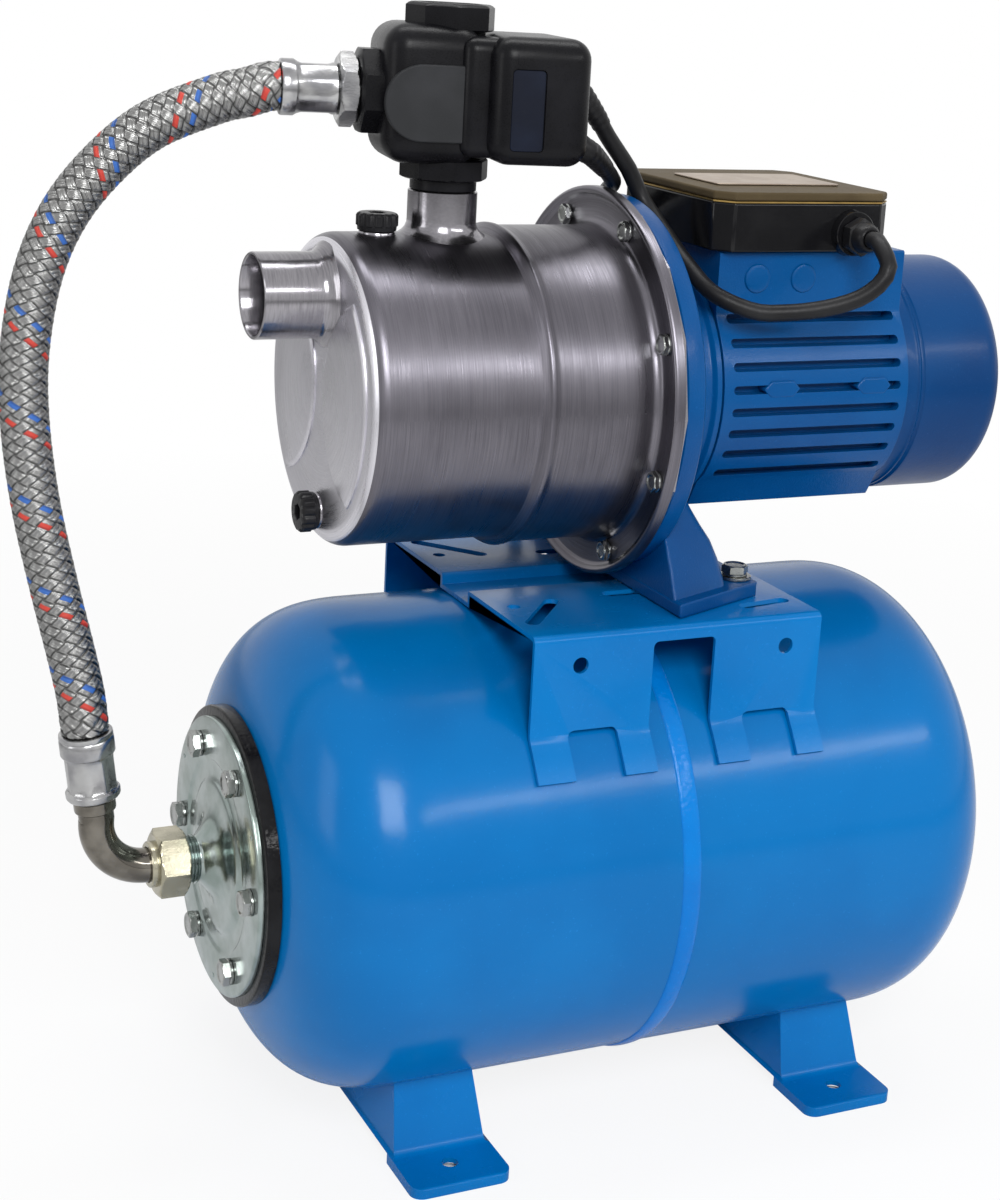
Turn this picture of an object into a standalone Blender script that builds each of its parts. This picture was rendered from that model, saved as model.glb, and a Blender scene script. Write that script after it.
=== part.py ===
"""Booster pump set: a jet pump on a horizontal pressure tank, with its hose and pressure switch.

The set's own frame has x = 0 at the tank's weld seam, +X along the tank towards the motor's
fan, y = 0 in the upright plane of both axes and z = 0 on the floor. An empty moves all of it
so that the origin lies on the floor under the middle of the rigid set. Sizes are millimetres.
"""

import math

import bmesh
import bpy
from mathutils import Matrix, Vector

MM = 0.001
CLEARANCE = 0.3

# Facets of a full circle
LARGE_STEPS = 24
ROUND_STEPS = 20
SMALL_STEPS = 16
NUT_STEPS = 12
BOLT_STEPS = 6

# Tank
TANK_RADIUS = 135.0
GROUND_GAP = 20.0
TANK_HEIGHT = TANK_RADIUS + GROUND_GAP
TANK_WALL = 1.5
FLANGE_END_STRAIGHT = 130.0
FLANGE_END_DISH = 85.0
BLIND_END_STRAIGHT = 150.0
BLIND_END_DISH = 73.0
FLANGE_END_POWER = 3.0
BLIND_END_POWER = 2.6
SEAM_RISE = 1.4
SEAM_WIDTH = 8.0
TANK_MOUTH_RADIUS = 44.0
SKIN_CLEARANCE = 0.7

# Tank cover and its bolts
COVER_STANDOFF = 4.7
COVER_FACE_X = -FLANGE_END_STRAIGHT - FLANGE_END_DISH - COVER_STANDOFF
COVER_THICKNESS = 3.0
COVER_RADIUS = 76.0
COLLAR_RADIUS = 81.5
COLLAR_BORE = 52.0
COVER_BOLTS = 6
COVER_BOLT_CIRCLE = 62.0
COVER_BOLT_RADIUS = 4.0
COVER_BOLT_CORNER = 7.5
COVER_BOLT_HEAD = 5.5
NIPPLE_RADIUS = 13.2
NIPPLE_BORE = 9.5
NIPPLE_LENGTH = 26.3
NIPPLE_END_X = COVER_FACE_X - NIPPLE_LENGTH

# Rubber bag inside the tank
BAG_WALL = 2.0
BAG_RADIUS = 110.0
BAG_NECK_RADIUS = 40.0
BAG_END_X = 150.0
BAG_STRAIGHT = 70.0

# Air valve at the tank's blind end
VALVE_RADIUS = 4.5
VALVE_LENGTH = 16.0
VALVE_CAP_RADIUS = 13.0
VALVE_CAP_LENGTH = 21.0
VALVE_CAP_WALL = 1.6

# Tank feet
FOOT_PLACES = {"foot_left": -117.6, "foot_right": 125.9}
FOOT_SHEET = 3.0
PAD_THICKNESS = 6.0
PAD_REACH = 122.0
PAD_HALF_WIDTH = 28.5
LEG_FOOT_HALF_WIDTH = 26.5
LEG_TOP_HALF_WIDTH = 22.5
LEG_FOOT_Y = PAD_REACH - 36.0
LEG_TOP_Y = LEG_FOOT_Y - 13.0
LEG_TOP_REACH = 5.4
LEG_TOP_Z = TANK_HEIGHT - math.sqrt(TANK_RADIUS ** 2 - LEG_TOP_Y ** 2) + LEG_TOP_REACH
FOOT_HOLE_Y = PAD_REACH - 20.0
FOOT_HOLE_RADIUS = 4.5

# Pump bracket, a folded sheet
BRACKET_SHEET = 2.4
BRACKET_SHARP_ANGLE = 20.0
BRACKET_HALF_LENGTH = 86.0
PLATFORM_Z = TANK_HEIGHT + TANK_RADIUS + 9.8
VALLEY_Y = 18.0
VALLEY_Z = TANK_HEIGHT + TANK_RADIUS + 3.0
TAB_REACH = TANK_RADIUS + SKIN_CLEARANCE + BRACKET_SHEET
TAB_LOW_ANGLE = 30.5
TAB_HIGH_ANGLE = 39.0
BRACKET_WALL_Y = TAB_REACH * math.cos(math.radians(TAB_HIGH_ANGLE)) - 2.4
WALL_FOOT_Z = TANK_HEIGHT + TAB_REACH * math.sin(math.radians(TAB_HIGH_ANGLE)) + 4.1
CUTOUT_START_Z = TANK_HEIGHT + 45.0
WINDOW_CENTRES = (-50.0, 54.5)
WINDOW_HALF_WIDTH = 14.5
WINDOW_TOP_Z = PLATFORM_Z - 52.5
NOTCH_CENTRE = 1.9
NOTCH_HALF_WIDTH = 18.5
NOTCH_TOP_Z = PLATFORM_Z - 7.9
WALL_HOLES_X = (-59.0, 64.4)
WALL_HOLE_Z = PLATFORM_Z - 17.0
WALL_HOLE_RADIUS = 4.4

# Pump casing, stainless sheet
CASING_WALL = 2.0
CASING_FACE_X = -168.0
CASING_FRONT_RADIUS = 82.0
CASING_FACE_RADIUS = CASING_FRONT_RADIUS - 9.0
CASING_REAR_RADIUS = CASING_FRONT_RADIUS + 3.5
CASING_BEAD_X = -73.0
CASING_FLANGE_X = -12.0
CASING_FLANGE_RADIUS = CASING_REAR_RADIUS + 21.3
CASING_BOLTS = 8
CASING_BOLT_CIRCLE = CASING_FLANGE_RADIUS - 12.3
CASING_BOLT_RADIUS = 3.0
CASING_BOLT_CORNER = 5.8

# Pump and motor axis, with the casing's rim just above the platform
RIM_CLEARANCE = 3.4
PUMP_HEIGHT = PLATFORM_Z + CASING_FLANGE_RADIUS + RIM_CLEARANCE

# Stubs, plugs and pressed lenses of the casing
SUCTION_MOUTH_X = CASING_FACE_X - 38.0
SUCTION_RISE = CASING_FACE_RADIUS - 23.0
SUCTION_RADIUS = 22.4
DELIVERY_X = -103.6
DELIVERY_RADIUS = 18.2
DELIVERY_TOP_Z = PUMP_HEIGHT + CASING_FRONT_RADIUS + 22.3
PORT_WALL = 2.0
FILLER_X = -139.5
PLUG_RADIUS = 11.0
PLUG_SHANK_RADIUS = 7.0
PLUG_HEAD = 9.5
DRAIN_DROP = CASING_FACE_RADIUS - 8.0
LENS_RISE = 1.6
LENS_HALF_HEIGHT = CASING_FACE_RADIUS - 21.0
LENS_INNER_Y = 7.0
LENS_TIP_Y = CASING_FACE_RADIUS - 27.0
LENS_OUTER_Y = CASING_FACE_RADIUS - 4.5

# Seal plate and lantern between pump and motor
GASKET_INNER = CASING_REAR_RADIUS - 1.5
GASKET_OUTER = GASKET_INNER + 5.0
GASKET_THICKNESS = 1.4
SEAL_PLATE_THICKNESS = 2.0
SEAL_PLATE_RADIUS = CASING_FLANGE_RADIUS - 2.8
LANTERN_FLANGE_RADIUS = CASING_FLANGE_RADIUS - 4.3
LANTERN_FLANGE_THICKNESS = 11.0
LANTERN_NECK_RADIUS = 64.0
LANTERN_END_X = 35.5
SADDLE_X = (2.5, 66.0)
SADDLE_HALF_WIDTHS = (96.4, 68.5)
SADDLE_THICKNESS = 8.0
LEG_FRONT_X = 3.0
# Height, reach to the rear, half width in front and half width at the rear
LEG_LEVELS = (
    (PLATFORM_Z + 6.2, 46.0, 89.5, 71.0),
    (PLATFORM_Z + 22.2, 42.5, 82.0, 66.0),
    (PUMP_HEIGHT - 70.0, 33.5, 72.0, 60.0),
    (PUMP_HEIGHT - 54.0, 25.0, 62.0, 54.0),
)
FOOT_BOLT_X = 57.0
FOOT_BOLT_Y = 58.0
FOOT_BOLT_RADIUS = 4.0
FOOT_BOLT_FLATS = 6.5

# Motor
FRAME_X = (36.0, 154.0)
FIN_TIP_RADIUS = 68.0
FIN_ROOT_RADIUS = 61.0
FIN_COUNT = 7
FIN_PITCH = 12.2
FIN_THICKNESS = 5.4
FRAME_BORE = 56.0
PEDESTAL_HALF_WIDTH = 52.0
PEDESTAL_FOOT_Z = PUMP_HEIGHT + 46.0
PEDESTAL_TOP_Z = PUMP_HEIGHT + 78.7
PEDESTAL_BOSS_Z = PUMP_HEIGHT + 64.0
KEEL_HALF_WIDTH = 38.0
KEEL_Z = PUMP_HEIGHT - 64.7
FRAME_BOSSES = (72.0, 131.0)
PEDESTAL_BOSSES = (60.0, 89.0)
STATOR_X = (50.0, 135.0)
STATOR_BORE = 33.0
STATOR_SLOTS = 12
SHAFT_RADIUS = 8.0
BEARING_RADIUS = 20.0
BEARING_WIDTH = 12.0
FRONT_BEARING_X = 23.0
REAR_BEARING_X = 151.0
FAN_COVER_X = (154.3, 222.0)
FAN_COVER_RADIUS = 68.0
FAN_COVER_WALL = 1.5
FAN_RIDGE_X = 165.0
GRILLE_SLOTS = 12
GRILLE_RADII = (20.0, 46.0)
GRILLE_SLOT_WIDTH = 4.2
FAN_X = 176.0
FAN_WIDTH = 16.0
FAN_RADIUS = 58.0
FAN_BLADES = 9

# Impeller and the parts round it
IMPELLER_X = -62.0
IMPELLER_RADIUS = CASING_REAR_RADIUS - 25.5
IMPELLER_WIDTH = 14.0
IMPELLER_BLADES = 6
DIFFUSER_X = -76.0
DIFFUSER_RADIUS = CASING_REAR_RADIUS - 9.5
VENTURI_X = -132.0
VENTURI_RADIUS = 12.5
VENTURI_BORE = 8.5
EJECTOR_X = (-165.0, -140.0)
EJECTOR_RADIUS = 22.8
EJECTOR_WALL = 2.5

# Terminal box on the motor
BOX_X = (30.5, 140.5)
BOX_HALF_WIDTH = 58.5
BOX_Z = (PEDESTAL_TOP_Z + CLEARANCE, PEDESTAL_TOP_Z + CLEARANCE + 27.0)
BOX_LID = 4.5
BOX_WALL = 3.0
BOX_CORNER = 9.0
GLAND_X = 113.0
GLAND_Z = BOX_Z[0] + 9.5
GLAND_RADIUS = 9.0
GLAND_REACH = 20.0
RATING_PLATE = (78.0, 52.0, 0.8)

# Pressure switch, turned about the delivery pipe; heights are above the pipe's end
SWITCH_TURN = -10.5
PORT_FLATS = 43.2
PORT_BORE = 15.2
PIPE_RADIUS = 18.5
SWITCH_PORT_Z = 49.5
SWITCH_Z = (14.7, 84.7)
SWITCH_X = (-37.5, 14.0)
SWITCH_HALF_DEPTH = 29.0
TOP_PORT_HEIGHT = 13.4
SWITCH_LEFT_X = -47.5
SWITCH_FOOT_Z = 5.9
HOUSING_X = (14.3, 66.0)
HOUSING_DEPTH = (-32.0, 46.0)
HOUSING_Z = (17.3, 81.3)
HOUSING_WALL = 5.6
HOUSING_BASE = 3.0
SWITCH_ROUNDING = 13.0
WAIST_HALF_DEPTH = 23.0
WAIST_Z = (21.7, 76.7)
FACE_PAD_X = (-18.5, 7.6)
FACE_PAD_Z = 45.9
FACE_PAD_RADIUS = 19.3
FACE_PAD_RISE = 1.8
WINDOW_X = (23.4, 45.6)
WINDOW_Z = (24.7, 65.7)
WINDOW_DEPTH = 1.6
PLUNGER_RADIUS = 4.0
PLUNGER_PLATE = 8.0
# Across and height of the two lead exits on the housing's end
LEAD_EXITS = {"motor": (3.0, 56.7), "mains": (-11.0, 28.7)}
LEAD_EXIT_TILT = 35.0
LEAD_EXIT_RADIUS = 6.6
LEAD_EXIT_LENGTH = 4.0

# Hose and its fittings
HOSE_DIAMETER = 25.0
FITTING_NUT_FLATS = 33.0
HOSE_NUT = (-57.5, -47.8)
FERRULE_SLEEVE_RADIUS = 13.0
FERRULE_BAND_RADIUS = 14.4
TOP_SLEEVE_LENGTH = 21.0
TOP_BAND_LENGTH = 8.0
FERRULE_BORE = 8.0
ELBOW_RADIUS = 9.3
ELBOW_BORE = 7.0
ELBOW_BEND = 27.0
ELBOW_X = NIPPLE_END_X - 11.5
ELBOW_RISE = 12.0
ELBOW_LEAN = 7.0
ELBOW_COLLAR_RADIUS = 11.0
UNION_NUT_X = (NIPPLE_END_X - 11.0, NIPPLE_END_X + 12.0)
BOTTOM_FLANGE_LENGTH = 5.0
BOTTOM_SLEEVE_LENGTH = 20.0
BOTTOM_BAND_LENGTH = 12.0

# Leads
LEAD_DIAMETER = 9.2
COIL_RADIUS = 50.0
COIL_SECTION = 19.0
COIL_CHAMFER = 4.0
COIL_CENTRE = (5.0, 264.0)
PLUG_BODY_RADIUS = 19.0
PLUG_BODY_LENGTH = 38.0
PLUG_RELIEF_LENGTH = 28.0
PLUG_TAIL_RADIUS = 5.5
PLUG_PIN_RADIUS = 2.4
PLUG_PIN_LENGTH = 19.0
PLUG_PIN_SPREAD = 9.5

HOSE_ROUTE = (
    (-204.4, 20.3, 560.0),
    (-218.5, 25.0, 555.9),
    (-249.5, 33.0, 541.6),
    (-273.0, 38.5, 520.8),
    (-292.1, 41.5, 495.2),
    (-304.8, 42.0, 464.9),
    (-311.9, 40.0, 427.0),
    (-313.0, 35.5, 391.8),
    (-309.6, 28.0, 351.5),
    (-302.8, 19.0, 311.2),
    (-295.9, 9.5, 275.8),
    (-292.4, 3.0, 255.0),
)
MOTOR_LEAD_ROUTE = (
    (-20.0, -8.0, 554.0),
    (-11.6, -5.0, 543.9),
    (3.8, -2.0, 526.6),
    (9.7, -2.0, 516.3),
    (14.4, -6.0, 506.5),
    (21.5, -26.0, 488.0),
    (23.5, -40.0, 479.5),
    (28.5, -60.0, 467.9),
    (46.8, -73.0, 460.0),
    (64.0, -80.0, 460.2),
    (78.0, -86.0, 462.5),
    (90.0, -91.0, 466.0),
    (100.0, -95.5, 471.0),
    (108.0, -98.5, 478.5),
    (112.3, -98.0, 487.5),
)
MAINS_LEAD_ROUTE = (
    (-30.0, -22.5, 536.6),
    (-22.0, -17.0, 531.6),
    (-13.0, -8.0, 526.5),
    (-4.0, 3.0, 521.5),
    (5.0, 18.0, 516.5),
    (11.5, 40.0, 508.0),
    (15.0, 66.0, 489.0),
    (16.0, 90.0, 462.0),
    (15.5, 106.0, 430.0),
    (14.0, 117.0, 392.0),
    (12.0, 125.0, 352.0),
    (10.5, 131.0, 312.0),
    (11.0, 136.0, 272.0),
    (13.5, 140.5, 232.0),
    (17.5, 144.0, 192.0),
    (22.5, 146.0, 152.0),
    (28.5, 147.5, 112.0),
    (35.5, 150.0, 76.0),
    (43.0, 156.5, 44.0),
    (51.0, 171.0, 18.0),
    (57.0, 192.0, 6.0),
    (59.4, 212.0, 4.9),
)


def clear_scene():
    for old in list(bpy.data.objects):
        bpy.data.objects.remove(old, do_unlink=True)


def make_material(name, colour, roughness, metallic=0.0):
    material = bpy.data.materials.new(name)
    material.use_nodes = True
    shader = material.node_tree.nodes["Principled BSDF"]
    shader.inputs["Base Color"].default_value = (*colour, 1.0)
    shader.inputs["Roughness"].default_value = roughness
    shader.inputs["Metallic"].default_value = metallic
    return material


def make_empty(name, place=(0, 0, 0), turn=0.0, parent=None):
    empty = bpy.data.objects.new(name, None)
    empty.location = Vector(place) * MM
    empty.rotation_euler.z = math.radians(turn)
    empty.parent = parent
    bpy.context.collection.objects.link(empty)
    return empty


def make_object(name, bm, material, parent, place=(0, 0, 0), sharp=35.0):
    """A mesh object whose geometry was drawn in millimetres round its own origin."""
    bmesh.ops.scale(bm, vec=(MM, MM, MM), verts=bm.verts)
    bmesh.ops.recalc_face_normals(bm, faces=bm.faces)
    mesh = bpy.data.meshes.new(name)
    bm.to_mesh(mesh)
    bm.free()
    mesh.shade_smooth()
    mesh.set_sharp_from_angle(angle=math.radians(sharp))
    mesh.materials.append(material)
    made = bpy.data.objects.new(name, mesh)
    made.parent = parent
    made.location = Vector(place) * MM
    bpy.context.collection.objects.link(made)
    return made


def along_axis(axis, along, first, second):
    """A point from its place along an axis and its two coordinates across it."""
    return {
        "X": (along, first, second),
        "Y": (first, along, second),
        "Z": (first, second, along),
    }[axis]


def polygon_stretch(angle, sides):
    """How much further than its flats a regular polygon reaches at an angle."""
    half = math.pi / sides
    return 1.0 / math.cos((angle + half) % (2 * half) - half)


def bridge(bm, first, second):
    """Faces between two rings of vertices; a ring of one vertex is a point on the axis."""
    count = max(len(first), len(second))
    if count == 1:
        return
    for step in range(count):
        following = (step + 1) % count
        corners = (
            first[step % len(first)],
            first[following % len(first)],
            second[following % len(second)],
            second[step % len(second)],
        )
        bm.faces.new(list(dict.fromkeys(corners)))


def bore_for(radius, steps):
    """The corner radius of a bore with few steps whose flats still clear a round piece."""
    return (radius + CLEARANCE) / math.cos(math.pi / steps)


def turned(name, profile, material, parent, place=(0, 0, 0), axis="X", steps=SMALL_STEPS):
    """A closed profile of (along, radius) turned about the axis through the object's origin.

    A third number in a point is the count of sides of a polygon, whose flats lie at the radius.
    """
    bm = bmesh.new()
    rings = []
    for along, radius, *sides in profile:
        ring = []
        for step in range(steps if radius else 1):
            angle = 2 * math.pi * step / steps
            reach = radius * (polygon_stretch(angle, sides[0]) if sides else 1.0)
            ring.append(bm.verts.new(along_axis(
                axis, along, reach * math.cos(angle), reach * math.sin(angle))))
        rings.append((along, ring))
    for (here, first), (there, second) in zip(rings, rings[1:] + rings[:1]):
        if here == there and 1 in (len(first), len(second)):
            if len(first) != len(second):
                bm.faces.new(max(first, second, key=len))
        else:
            bridge(bm, first, second)
    bmesh.ops.delete(bm, geom=[vert for vert in bm.verts if not vert.link_faces], context="VERTS")
    return make_object(name, bm, material, parent, place)


def extruded(name, outline, start, end, material, parent, place=(0, 0, 0), axis="X",
             bevel=0.0, bevel_steps=2):
    """A flat outline drawn across an axis and pulled along it."""
    bm = bmesh.new()
    near = [bm.verts.new(along_axis(axis, start, *point)) for point in outline]
    far = [bm.verts.new(along_axis(axis, end, *point)) for point in outline]
    bm.faces.new(near)
    bm.faces.new(far)
    bridge(bm, near, far)
    if bevel:
        bmesh.ops.recalc_face_normals(bm, faces=bm.faces)
        bmesh.ops.bevel(bm, geom=bm.edges[:], offset=bevel, segments=bevel_steps,
                        profile=0.5, affect="EDGES", clamp_overlap=True)
    return make_object(name, bm, material, parent, place)


def combine(target, operation, tools):
    """A Boolean that stays on its object; its tools, which don't touch, become one hidden piece."""
    bm = bmesh.new()
    for tool in tools:
        tool.data.transform(tool.matrix_basis)
        bm.from_mesh(tool.data)
    first, *others = tools
    bm.to_mesh(first.data)
    bm.free()
    first.matrix_basis = Matrix.Identity(4)
    first.hide_render = True
    first.display_type = "WIRE"
    for other in others:
        bpy.data.objects.remove(other, do_unlink=True)
    modifier = target.modifiers.new(first.name, "BOOLEAN")
    modifier.operation = operation
    modifier.object = first


def cut(target, *tools):
    combine(target, "DIFFERENCE", tools)


def join(target, *tools):
    combine(target, "UNION", tools)


def drills(name, places, radius, start, end, material, parent, axis="X", steps=NUT_STEPS):
    """One cutter made of parallel round drills at the given places across the axis."""
    bm = bmesh.new()
    for first, second in places:
        rings = []
        for along in (start, end):
            rings.append([bm.verts.new(along_axis(
                axis, along,
                first + radius * math.cos(2 * math.pi * step / steps),
                second + radius * math.sin(2 * math.pi * step / steps))) for step in range(steps)])
        bm.faces.new(rings[0])
        bm.faces.new(rings[1])
        bridge(bm, *rings)
    return make_object(name, bm, material, parent)


def box_outline(low, high):
    return ((low[0], low[1]), (high[0], low[1]), (high[0], high[1]), (low[0], high[1]))


def arc(centre, radius, start, end, steps):
    """Points on an arc, its ends included, with angles in degrees."""
    points = []
    for step in range(steps + 1):
        angle = math.radians(start + (end - start) * step / steps)
        points.append((centre[0] + radius * math.cos(angle), centre[1] + radius * math.sin(angle)))
    return points


def bolt_ring(count, circle, height, first_angle=0.0):
    """Places (y, z) of bolts spaced evenly on a circle round an axis along X."""
    places = []
    for number in range(count):
        angle = math.radians(first_angle + 360.0 * number / count)
        places.append((circle * math.cos(angle), height + circle * math.sin(angle)))
    return places


def sheet_outline(path, thickness):
    """The closed outline of a bent sheet: a path and the same path moved in by the thickness."""
    inner = []
    for index, point in enumerate(path):
        here = Vector(point)
        before = (here - Vector(path[index - 1])).normalized() if index else None
        after = (Vector(path[index + 1]) - here).normalized() if index < len(path) - 1 else None
        sides = [Vector((way.y, -way.x)) for way in (before, after) if way]
        mean = sum(sides, Vector((0, 0))).normalized()
        inner.append(tuple(here + mean * thickness / mean.dot(sides[0])))
    return list(path) + inner[::-1]


def smooth_route(points, spacing):
    """Points on a smooth curve through the route; its first and last stretch stay straight."""
    knots = [Vector(point) for point in points]
    fine = []
    for index in range(1, len(knots) - 2):
        before, start, end, after = knots[index - 1:index + 3]
        for step in range(20):
            t = step / 20
            fine.append(0.5 * (2 * start + (end - before) * t
                               + (2 * before - 5 * start + 4 * end - after) * t ** 2
                               + (3 * start - before - 3 * end + after) * t ** 3))
    fine.append(knots[-2])
    length = sum((b - a).length for a, b in zip(fine, fine[1:]))
    count = max(2, round(length / spacing))
    even = [fine[0]]
    travelled = 0.0
    for a, b in zip(fine, fine[1:]):
        step = (b - a).length
        while len(even) < count and travelled + step >= length * len(even) / count:
            share = (length * len(even) / count - travelled) / step
            even.append(a.lerp(b, share))
        travelled += step
    return [knots[0]] + even + [fine[-1], knots[-1]]


def tube(name, route, diameter, material, parent, spacing, sides=2):
    """A plain round cord along a smooth curve through its route."""
    points = smooth_route(route, spacing)
    curve = bpy.data.curves.new(name, "CURVE")
    curve.dimensions = "3D"
    curve.bevel_depth = diameter / 2 * MM
    curve.bevel_resolution = sides
    curve.use_fill_caps = True
    spline = curve.splines.new("POLY")
    spline.points.add(len(points) - 1)
    for place, point in zip(spline.points, points):
        place.co = (*(point * MM), 1.0)
    curve.materials.append(material)
    made = bpy.data.objects.new(name, curve)
    made.parent = parent
    bpy.context.collection.objects.link(made)
    return made


# Tank

def dish_points(straight, depth, power, radius, mouth, steps):
    """Distance from the seam and radius along a dished end, from its straight wall to its mouth."""
    last = math.acos((mouth / radius) ** (power / 2))
    points = []
    for step in range(steps + 1):
        angle = last * step / steps
        points.append((straight + depth * math.sin(angle) ** (2 / power),
                       radius * math.cos(angle) ** (2 / power)))
    return points


def flange_dish_x(radius):
    """Where the flange end's outer skin lies at a radius."""
    share = 1 - (radius / TANK_RADIUS) ** FLANGE_END_POWER
    return -FLANGE_END_STRAIGHT - FLANGE_END_DISH * share ** (1 / FLANGE_END_POWER)


def tank_shell(paint, frame):
    inner_radius = TANK_RADIUS - TANK_WALL
    valve_hole = VALVE_RADIUS + CLEARANCE
    flange_end = dish_points(FLANGE_END_STRAIGHT, FLANGE_END_DISH, FLANGE_END_POWER,
                             TANK_RADIUS, TANK_MOUTH_RADIUS, 7)
    blind_end = dish_points(BLIND_END_STRAIGHT, BLIND_END_DISH, BLIND_END_POWER,
                            TANK_RADIUS, valve_hole, 7)
    inner_flange = dish_points(FLANGE_END_STRAIGHT, FLANGE_END_DISH - TANK_WALL,
                               FLANGE_END_POWER, inner_radius, TANK_MOUTH_RADIUS, 3)
    inner_blind = dish_points(BLIND_END_STRAIGHT, BLIND_END_DISH - TANK_WALL,
                              BLIND_END_POWER, inner_radius, valve_hole, 4)
    half = SEAM_WIDTH / 2
    seam = [(-half - SEAM_RISE, TANK_RADIUS), (-half, TANK_RADIUS + SEAM_RISE),
            (half, TANK_RADIUS + SEAM_RISE), (half + SEAM_RISE, TANK_RADIUS)]
    profile = [(-x, radius) for x, radius in reversed(flange_end)] + seam + blind_end
    profile += list(reversed(inner_blind)) + [(-x, radius) for x, radius in inner_flange]
    turned("tank_shell", profile, paint, frame, (0, 0, TANK_HEIGHT), steps=LARGE_STEPS)


def cover_bolt_places():
    return bolt_ring(COVER_BOLTS, COVER_BOLT_CIRCLE, 0.0)


def tank_collar(black, frame):
    """The ring under the cover that its bolts screw into; its back follows the tank's dish."""
    front = COVER_FACE_X + COVER_THICKNESS + CLEARANCE
    radii = [COLLAR_BORE + (COLLAR_RADIUS - COLLAR_BORE) * step / 4 for step in range(5)]
    profile = [(front, COLLAR_BORE), (front, COLLAR_RADIUS - 1), (front + 1, COLLAR_RADIUS)]
    profile += [(flange_dish_x(radius) - SKIN_CLEARANCE, radius) for radius in reversed(radii)]
    ring = turned("tank_collar", profile, black, frame, (0, 0, TANK_HEIGHT), steps=ROUND_STEPS)
    holes = drills("collar_holes", cover_bolt_places(), COVER_BOLT_RADIUS + CLEARANCE,
                   COVER_FACE_X - 20, COVER_FACE_X + 30, black, frame, steps=BOLT_STEPS)
    holes.location.z = TANK_HEIGHT * MM
    cut(ring, holes)


def flange_cover(zinc, frame):
    """The pressed cover: a flat bolting ring, a sunk ring, and a cone up to the threaded nipple."""
    face = COVER_FACE_X
    back = face + COVER_THICKNESS
    profile = [
        (back, NIPPLE_BORE), (back, COVER_RADIUS), (face + 1, COVER_RADIUS),
        (face, COVER_RADIUS - 1), (face, 53), (face + 1.4, 51), (face + 1.4, 43),
        (face - 0.8, 39), (face - 1.2, 27), (face - 4.5, 19), (face - 8, NIPPLE_RADIUS + 0.6),
        (face - 10, NIPPLE_RADIUS - 1.2), (face - 11, NIPPLE_RADIUS),
        (NIPPLE_END_X + 1, NIPPLE_RADIUS), (NIPPLE_END_X, NIPPLE_RADIUS - 1),
        (NIPPLE_END_X, NIPPLE_BORE),
    ]
    plate = turned("flange_cover", profile, zinc, frame, (0, 0, TANK_HEIGHT), steps=ROUND_STEPS)
    holes = drills("cover_holes", cover_bolt_places(), COVER_BOLT_RADIUS + CLEARANCE,
                   COVER_FACE_X - 20, COVER_FACE_X + 10, zinc, frame, steps=BOLT_STEPS)
    holes.location.z = TANK_HEIGHT * MM
    cut(plate, holes)


def cover_bolts(zinc, frame):
    head = COVER_FACE_X - CLEARANCE
    tip = flange_dish_x(COVER_BOLT_CIRCLE + COVER_BOLT_RADIUS) - 2 * SKIN_CLEARANCE
    profile = [(head - COVER_BOLT_HEAD, 0), (head - COVER_BOLT_HEAD, COVER_BOLT_CORNER - 1),
               (head - COVER_BOLT_HEAD + 0.8, COVER_BOLT_CORNER), (head, COVER_BOLT_CORNER),
               (head, COVER_BOLT_RADIUS), (tip, COVER_BOLT_RADIUS), (tip, 0)]
    for number, (y, z) in enumerate(cover_bolt_places(), 1):
        turned(f"cover_bolt_{number}", profile, zinc, frame, (0, y, TANK_HEIGHT + z),
               steps=BOLT_STEPS)


def bladder(rubber, frame):
    """The water bag: its rim is held under the cover and its body hangs inside the shell."""
    rim_front = COVER_FACE_X + COVER_THICKNESS + CLEARANCE
    rim_back = flange_dish_x(TANK_MOUTH_RADIUS) - SKIN_CLEARANCE
    start = COVER_FACE_X + 21.7
    swell = BAG_RADIUS - BAG_NECK_RADIUS - 2
    shoulder = [(start - (start + BAG_STRAIGHT) * share, BAG_NECK_RADIUS + 2 + swell * rise)
                for share, rise in ((0, 0), (0.17, 0.35), (0.39, 0.73), (0.67, 0.94), (1, 1))]
    dome = [(BAG_STRAIGHT + (BAG_END_X - BAG_STRAIGHT) * math.sin(math.radians(a)),
             BAG_RADIUS * math.cos(math.radians(a))) for a in (0, 25, 48, 68, 90)]
    outer = shoulder + dome[:-1] + [(BAG_END_X, 0)]
    inner = [(x - BAG_WALL * 0.6 if x > BAG_STRAIGHT else x, max(radius - BAG_WALL, 0))
             for x, radius in outer]
    inner[-1] = (BAG_END_X - BAG_WALL, 0)
    profile = [(rim_front, COLLAR_BORE - 1), (rim_back, COLLAR_BORE - 1),
               (rim_back, BAG_NECK_RADIUS + 2)] + outer
    profile += inner[::-1] + [(rim_front, BAG_NECK_RADIUS)]
    turned("bladder", profile, rubber, frame, (0, 0, TANK_HEIGHT), steps=NUT_STEPS)


def air_valve(brass, black, frame):
    end = BLIND_END_STRAIGHT + BLIND_END_DISH
    seat = end + CLEARANCE
    stem = [(end - 8, 0), (end - 8, VALVE_RADIUS), (seat, VALVE_RADIUS), (seat, 7, 6),
            (seat + 3, 7, 6), (seat + 3, 3.8), (seat + VALVE_LENGTH, 3.8), (seat + VALVE_LENGTH, 0)]
    turned("air_valve", stem, brass, frame, (0, 0, TANK_HEIGHT), steps=NUT_STEPS)
    outer = VALVE_CAP_RADIUS
    inner = outer - VALVE_CAP_WALL
    rear = seat + VALVE_CAP_LENGTH
    cap = [(seat, inner), (seat, outer), (rear - 3, outer), (rear, outer - 3), (rear, 0),
           (rear - VALVE_CAP_WALL, 0), (rear - VALVE_CAP_WALL, inner)]
    turned("valve_cap", cap, black, frame, (0, 0, TANK_HEIGHT), steps=SMALL_STEPS)


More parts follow.
